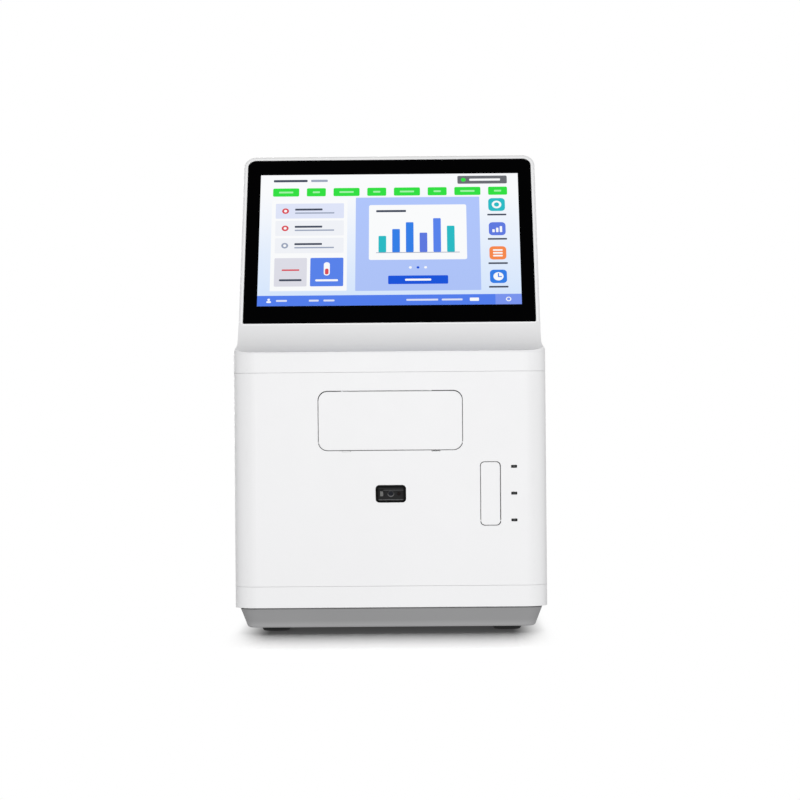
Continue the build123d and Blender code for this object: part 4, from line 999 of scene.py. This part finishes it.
class ANALYZER_OT_rear(bpy.types.Operator):
    """Makes the rear's screws, mains inlet, sockets and switch marks"""
    bl_idname = "analyzer.rear"
    bl_label = "Rear"

    def execute(self, context):
        screw = cross_screw("rear_screw", 2.75, 0.9, 1.6, 5)
        spots = [(x, z) for x in (-94, 94) for z in (48, 120, 192)]
        screws = [copy_piece(screw, "screw", REAR @ Matrix.Translation((x * MM, z * MM, 0)))
                  for x, z in spots]
        bpy.data.objects.remove(screw)
        hand_over(join(*screws), "cabinet", ["rear_screws"])
        self.inlet(-58, 96)
        self.usb((28, 46), 49.6)
        self.network(70, 49.6)
        self.marks(-84.5, 96)
        return {"FINISHED"}

    @staticmethod
    def inlet(x, z):
        """Mains inlet: a deep socket with three blades and a flange behind the plate."""
        shell = plate("inlet_shell", at_rear(x - 13.5, x + 13.5, z - 10, z + 10), (-24, -0.4), 2.8, 0.4)
        sink(shell, lambda spot, normal: normal.z > 0.99, 1.1, 16)
        paint(settle(shell, REAR), MATERIALS["black_plastic"])
        flange = plate("inlet_flange", at_rear(x - 17, x + 17, z - 13, z + 13), (-5, -3.05), 1)
        open_through(flange, 3.1)
        paint(settle(flange, REAR), MATERIALS["black_plastic"])
        hand_over(join(shell, flange), "cabinet", ["power_inlet"])
        blades = []
        for dx, dz in ((-7, -2), (7, -2), (0, 2)):
            blade = plate("blade", at_rear(x + dx - 1, x + dx + 1, z + dz - 2, z + dz + 2), (-17, -3.4), 0,
                          0.5)
            blades.append(paint(settle(blade, REAR), MATERIALS["polished_steel"]))
        hand_over(join(*blades), "cabinet").name = "inlet_blades"

    @staticmethod
    def usb(xs, z):
        """Two sockets: a folded steel shell, a tongue and its contacts."""
        shells, tongues, contacts = [], [], []
        for x in xs:
            shell = plate("usb_shell", at_rear(x - 6.6, x + 6.6, z, z + 6.6), (-14, -0.4), 0.5, 0.15)
            open_through(shell, 0.45)
            shells.append(paint(settle(shell, REAR), MATERIALS["polished_steel"]))
            tongue = plate("usb_tongue", at_rear(x - 5.6, x + 5.6, z + 3.6, z + 5.4), (-12, -1.9), 0.2, 0.2)
            tongues.append(paint(settle(tongue, REAR), MATERIALS["black_plastic"]))
            stop = plate("usb_stop", at_rear(x - 6.1, x + 6.1, z + 0.5, z + 6.1), (-13.8, -12), 0)
            tongues.append(paint(settle(stop, REAR), MATERIALS["black_plastic"]))
            for step in (-3.6, -1.2, 1.2, 3.6):
                pad = plate("usb_pad", at_rear(x + step - 0.5, x + step + 0.5, z + 3.45, z + 3.62),
                            (-11, -2.6))
                contacts.append(paint(settle(pad, REAR), MATERIALS["gold"]))
        hand_over(join(*shells), "cabinet", ["usb_ports"])
        hand_over(join(*tongues), "cabinet")
        hand_over(join(*contacts), "cabinet")

    @staticmethod
    def network(x, z):
        """Network socket: a shell with its well and latch slot, eight contacts and two lights."""
        shell = plate("network_shell", at_rear(x - 8, x + 8, z, z + 13.5), (-21, -0.4), 0.4, 0.2)
        paint(settle(shell, REAR), MATERIALS["black_plastic"])
        for span in (at_rear(x - 6, x + 6, z + 2, z + 10), at_rear(x - 3, x + 3, z + 9, z + 11.6)):
            cut(shell, settle(plate("well", span, (-13, 1)), REAR))
        hand_over(shell, "cabinet", ["network_port"])
        wires = []
        for step in range(8):
            wire_x = x - 3.57 + step * 1.02
            wires.append(paint(rod("network_wire", (wire_x, 153.2, z + 2.5), (wire_x, 142.5, z + 5.2), 0.22, 0,
                                   8), MATERIALS["gold"]))
        hand_over(join(*wires), "cabinet")
        lights = []
        for light_x, colour in ((x - 6.2, (0.05, 0.35, 0.08)), (x + 6.2, (0.5, 0.26, 0.03))):
            light = plate("network_light", at_rear(light_x - 1.3, light_x + 1.3, z + 11.2, z + 12.8),
                          (-2, -0.3), 0.3, 0.1)
            lights.append(paint(settle(light, REAR), moulded("network_lens", colour, 0.2)))
        hand_over(join(*lights), "cabinet")

    @staticmethod
    def marks(x, z):
        """Line and ring on the two halves of the rocker."""
        tilt = math.radians(8)
        along = Vector((0, math.cos(tilt), math.sin(tilt)))
        up = Vector((0, -math.sin(tilt), math.cos(tilt)))
        pivot = Vector((x, 149.6, z))
        white = moulded("mark_white", (0.8, 0.8, 0.8), 0.4)
        parts = []
        for half in (1, -1):
            slope = (up * half * 7.5 + along * 1.4).normalized()
            outward = (along * 7.5 - up * half * 1.4).normalized()
            middle = pivot + along * 3.62 + up * half * 3.75
            turn = Matrix.Translation(middle * MM) @ Matrix((
                (-1, slope.x, outward.x, 0), (0, slope.y, outward.y, 0), (0, slope.z, outward.z, 0),
                (0, 0, 0, 1)))
            if half == 1:
                mark = plate("mark_line", (-0.3, 0.3, -1.5, 1.5), (0, 0.14), 0.1)
            else:
                mark = rod("mark_ring", (0, 0, 0), (0, 0, 0.14), 1.6, 0, 32)
                open_through(mark, 0.45)
            parts.append(paint(settle(mark, turn), white))
        hand_over(join(*parts), "rocker")


# ---------------------------------------------------------------- base

class ANALYZER_OT_base(bpy.types.Operator):
    """Makes the screws under the base"""
    bl_idname = "analyzer.base"
    bl_label = "Base"

    def execute(self, context):
        screw = cross_screw("base_screw", 3.2, 2.4, 1.6, 19.9)
        under = Matrix.Translation((0, 0, 4.1 * MM)) @ Matrix.Rotation(math.radians(180), 4, "X")
        screws = [copy_piece(screw, "screw", Matrix.Translation((x * MM, y * MM, 0)) @ under)
                  for x in (-95, 95) for y in (-112, 112)]
        bpy.data.objects.remove(screw)
        hand_over(join(*screws), "cabinet", ["base_screws"])
        return {"FINISHED"}


# ---------------------------------------------------------------- stage

class ANALYZER_OT_stage(bpy.types.Operator):
    """Sets the floor, the room, the lamps and the camera"""
    bl_idname = "analyzer.stage"
    bl_label = "Studio"

    def execute(self, context):
        studio = context.scene.analyzer_studio
        floor = self.floor(studio.floor_bounce)
        self.room(context, studio.sky_level)
        self.lamp("front_lamp", (0.2, -2.6, 0.4), (1.8, 0.7), studio.key_power)
        for number in range(studio.lamp_count):
            side = 1 - 2 * number
            self.lamp("side_lamp", (side * 2.2, -0.2, 0.4), (1.4, 1.2), studio.side_power)
        self.lamp("rear_lamp", (-0.3, 2.4, 0.45), (1.8, 1.3), studio.rear_power)
        over = self.lamp("floor_lamp", (0, 0.6, 1.8), (1.0, 1.46), studio.floor_power, (0, 0.6, 0))
        only_floor = bpy.data.collections.new("floor_alone")
        only_floor.objects.link(floor)
        over.light_linking.receiver_collection = only_floor
        self.camera(context, studio)
        context.scene.view_settings.view_transform = "Standard"
        return {"FINISHED"}

    @staticmethod
    def floor(bounce):
        """Pale floor: it shows the lamp's real shadow under the object's front; outside a box round the object,
        which starts just inside the base's sides, painted light fades it to plain white and hides the shadow
        there.
        """
        clear_selection()
        bpy.ops.mesh.primitive_plane_add(size=12)
        floor = bpy.context.object
        floor.name = "floor"
        material = bpy.data.materials.new("floor_pale")
        material.use_nodes = True
        tree = material.node_tree
        tree.nodes.clear()
        output = tree.nodes.new("ShaderNodeOutputMaterial")
        pale = tree.nodes.new("ShaderNodeEmission")
        pale.inputs["Strength"].default_value = bounce
        seen = tree.nodes.new("ShaderNodeBsdfDiffuse")
        seen.inputs["Color"].default_value = (0.1, 0.1, 0.1, 1)
        far = tree.nodes.new("ShaderNodeEmission")
        path = tree.nodes.new("ShaderNodeLightPath")
        # Painted light: how far a spot lies outside a box round the object sets where the floor is faded to
        # white over its real shadow.
        reach = object_space(tree)
        for operation, amount in (("ABSOLUTE", (0, 0, 0)), ("SUBTRACT", (0.098, 0.28, 0)),
                                  ("MAXIMUM", (0, 0, 0)), ("MULTIPLY", (29, 8, 0))):
            step = tree.nodes.new("ShaderNodeVectorMath")
            step.operation = operation
            step.inputs[1].default_value = amount
            tree.links.new(reach, step.inputs[0])
            reach = step.outputs["Vector"]
        length = tree.nodes.new("ShaderNodeVectorMath")
        length.operation = "LENGTH"
        tree.links.new(reach, length.inputs[0])
        white_paint_fade = tree.nodes.new("ShaderNodeMapRange")
        white_paint_fade.interpolation_type = "SMOOTHSTEP"
        white_paint_fade.inputs["From Min"].default_value = -0.12
        tree.links.new(length.outputs["Value"], white_paint_fade.inputs["Value"])
        outer = tree.nodes.new("ShaderNodeMixShader")
        tree.links.new(white_paint_fade.outputs["Result"], outer.inputs["Fac"])
        tree.links.new(seen.outputs["BSDF"], outer.inputs[1])
        tree.links.new(far.outputs["Emission"], outer.inputs[2])
        mix = tree.nodes.new("ShaderNodeMixShader")
        tree.links.new(path.outputs["Is Camera Ray"], mix.inputs["Fac"])
        tree.links.new(pale.outputs["Emission"], mix.inputs[1])
        tree.links.new(outer.outputs["Shader"], mix.inputs[2])
        tree.links.new(mix.outputs["Shader"], output.inputs["Surface"])
        paint(floor, material)
        return floor

    @staticmethod
    def room(context, level):
        world = bpy.data.worlds.new("room")
        context.scene.world = world
        world.use_nodes = True
        tree = world.node_tree
        background = tree.nodes["Background"]
        background.inputs["Color"].default_value = (1, 1, 1, 1)
        path = tree.nodes.new("ShaderNodeLightPath")
        first = tree.nodes.new("ShaderNodeMath")
        first.operation = "MAXIMUM"
        tree.links.new(path.outputs["Is Camera Ray"], first.inputs[0])
        tree.links.new(path.outputs["Is Glossy Ray"], first.inputs[1])
        second = tree.nodes.new("ShaderNodeMath")
        second.operation = "MAXIMUM"
        tree.links.new(first.outputs["Value"], second.inputs[0])
        tree.links.new(path.outputs["Is Transmission Ray"], second.inputs[1])
        strength = tree.nodes.new("ShaderNodeMapRange")
        strength.inputs["To Min"].default_value = level
        strength.inputs["To Max"].default_value = 1
        tree.links.new(second.outputs["Value"], strength.inputs["Value"])
        tree.links.new(strength.outputs["Result"], background.inputs["Strength"])

    @staticmethod
    def lamp(name, place, size, power, target=(0, 0, 0.18)):
        """Rectangular lamp that faces the target."""
        clear_selection()
        bpy.ops.object.light_add(type="AREA", location=place)
        lamp = bpy.context.object
        lamp.name = name
        lamp.data.shape = "RECTANGLE"
        lamp.data.size, lamp.data.size_y = size
        lamp.data.energy = power
        aim = Vector(target) - Vector(place)
        lamp.rotation_euler = aim.to_track_quat("-Z", "Y").to_euler()
        return lamp

    @staticmethod
    def camera(context, studio):
        clear_selection()
        bpy.ops.object.camera_add()
        camera = bpy.context.object
        camera.name = "photo_camera"
        camera.data.lens = studio.lens
        camera.data.sensor_width = 36
        camera.data.clip_end = 50
        camera.matrix_world = (Matrix.Translation(studio.camera_place)
                               @ Matrix.Rotation(studio.camera_yaw, 4, "Z")
                               @ Matrix.Rotation(studio.camera_roll, 4, "Y")
                               @ Matrix.Rotation(math.radians(90), 4, "X"))
        context.scene.camera = camera


# ---------------------------------------------------------------- add-on

STEPS = ("finishes", "head", "printer", "scanner", "sampling", "screen", "reagents", "rear", "base", "stage")


class ANALYZER_PT_panel(bpy.types.Panel):
    """Lists the steps and the settings that they read"""
    bl_label = "Blood gas analyzer"
    bl_idname = "ANALYZER_PT_panel"
    bl_space_type = "VIEW_3D"
    bl_region_type = "UI"
    bl_category = "Analyzer"

    def draw(self, context):
        for group in ("analyzer_shell", "analyzer_screen", "analyzer_studio"):
            settings = getattr(context.scene, group)
            box = self.layout.box()
            for name in settings.bl_rna.properties.keys():
                if name not in ("rna_type", "name"):
                    box.prop(settings, name)
        for step in STEPS:
            self.layout.operator("analyzer." + step)


CLASSES = (
    AnalyzerShell, AnalyzerScreen, AnalyzerStudio, ANALYZER_OT_finishes, ANALYZER_OT_head,
    ANALYZER_OT_printer, ANALYZER_OT_scanner, ANALYZER_OT_sampling, ANALYZER_OT_screen, ANALYZER_OT_reagents,
    ANALYZER_OT_rear, ANALYZER_OT_base, ANALYZER_OT_stage, ANALYZER_PT_panel,
)


def register():
    for cls in CLASSES:
        bpy.utils.register_class(cls)
    bpy.types.Scene.analyzer_shell = PointerProperty(type=AnalyzerShell)
    bpy.types.Scene.analyzer_screen = PointerProperty(type=AnalyzerScreen)
    bpy.types.Scene.analyzer_studio = PointerProperty(type=AnalyzerStudio)


def unregister():
    del bpy.types.Scene.analyzer_studio
    del bpy.types.Scene.analyzer_screen
    del bpy.types.Scene.analyzer_shell
    for cls in reversed(CLASSES):
        bpy.utils.unregister_class(cls)


def main():
    """Runs every step in order."""
    register()
    for step in STEPS:
        getattr(bpy.ops.analyzer, step)()


if __name__ == "__main__":
    main()
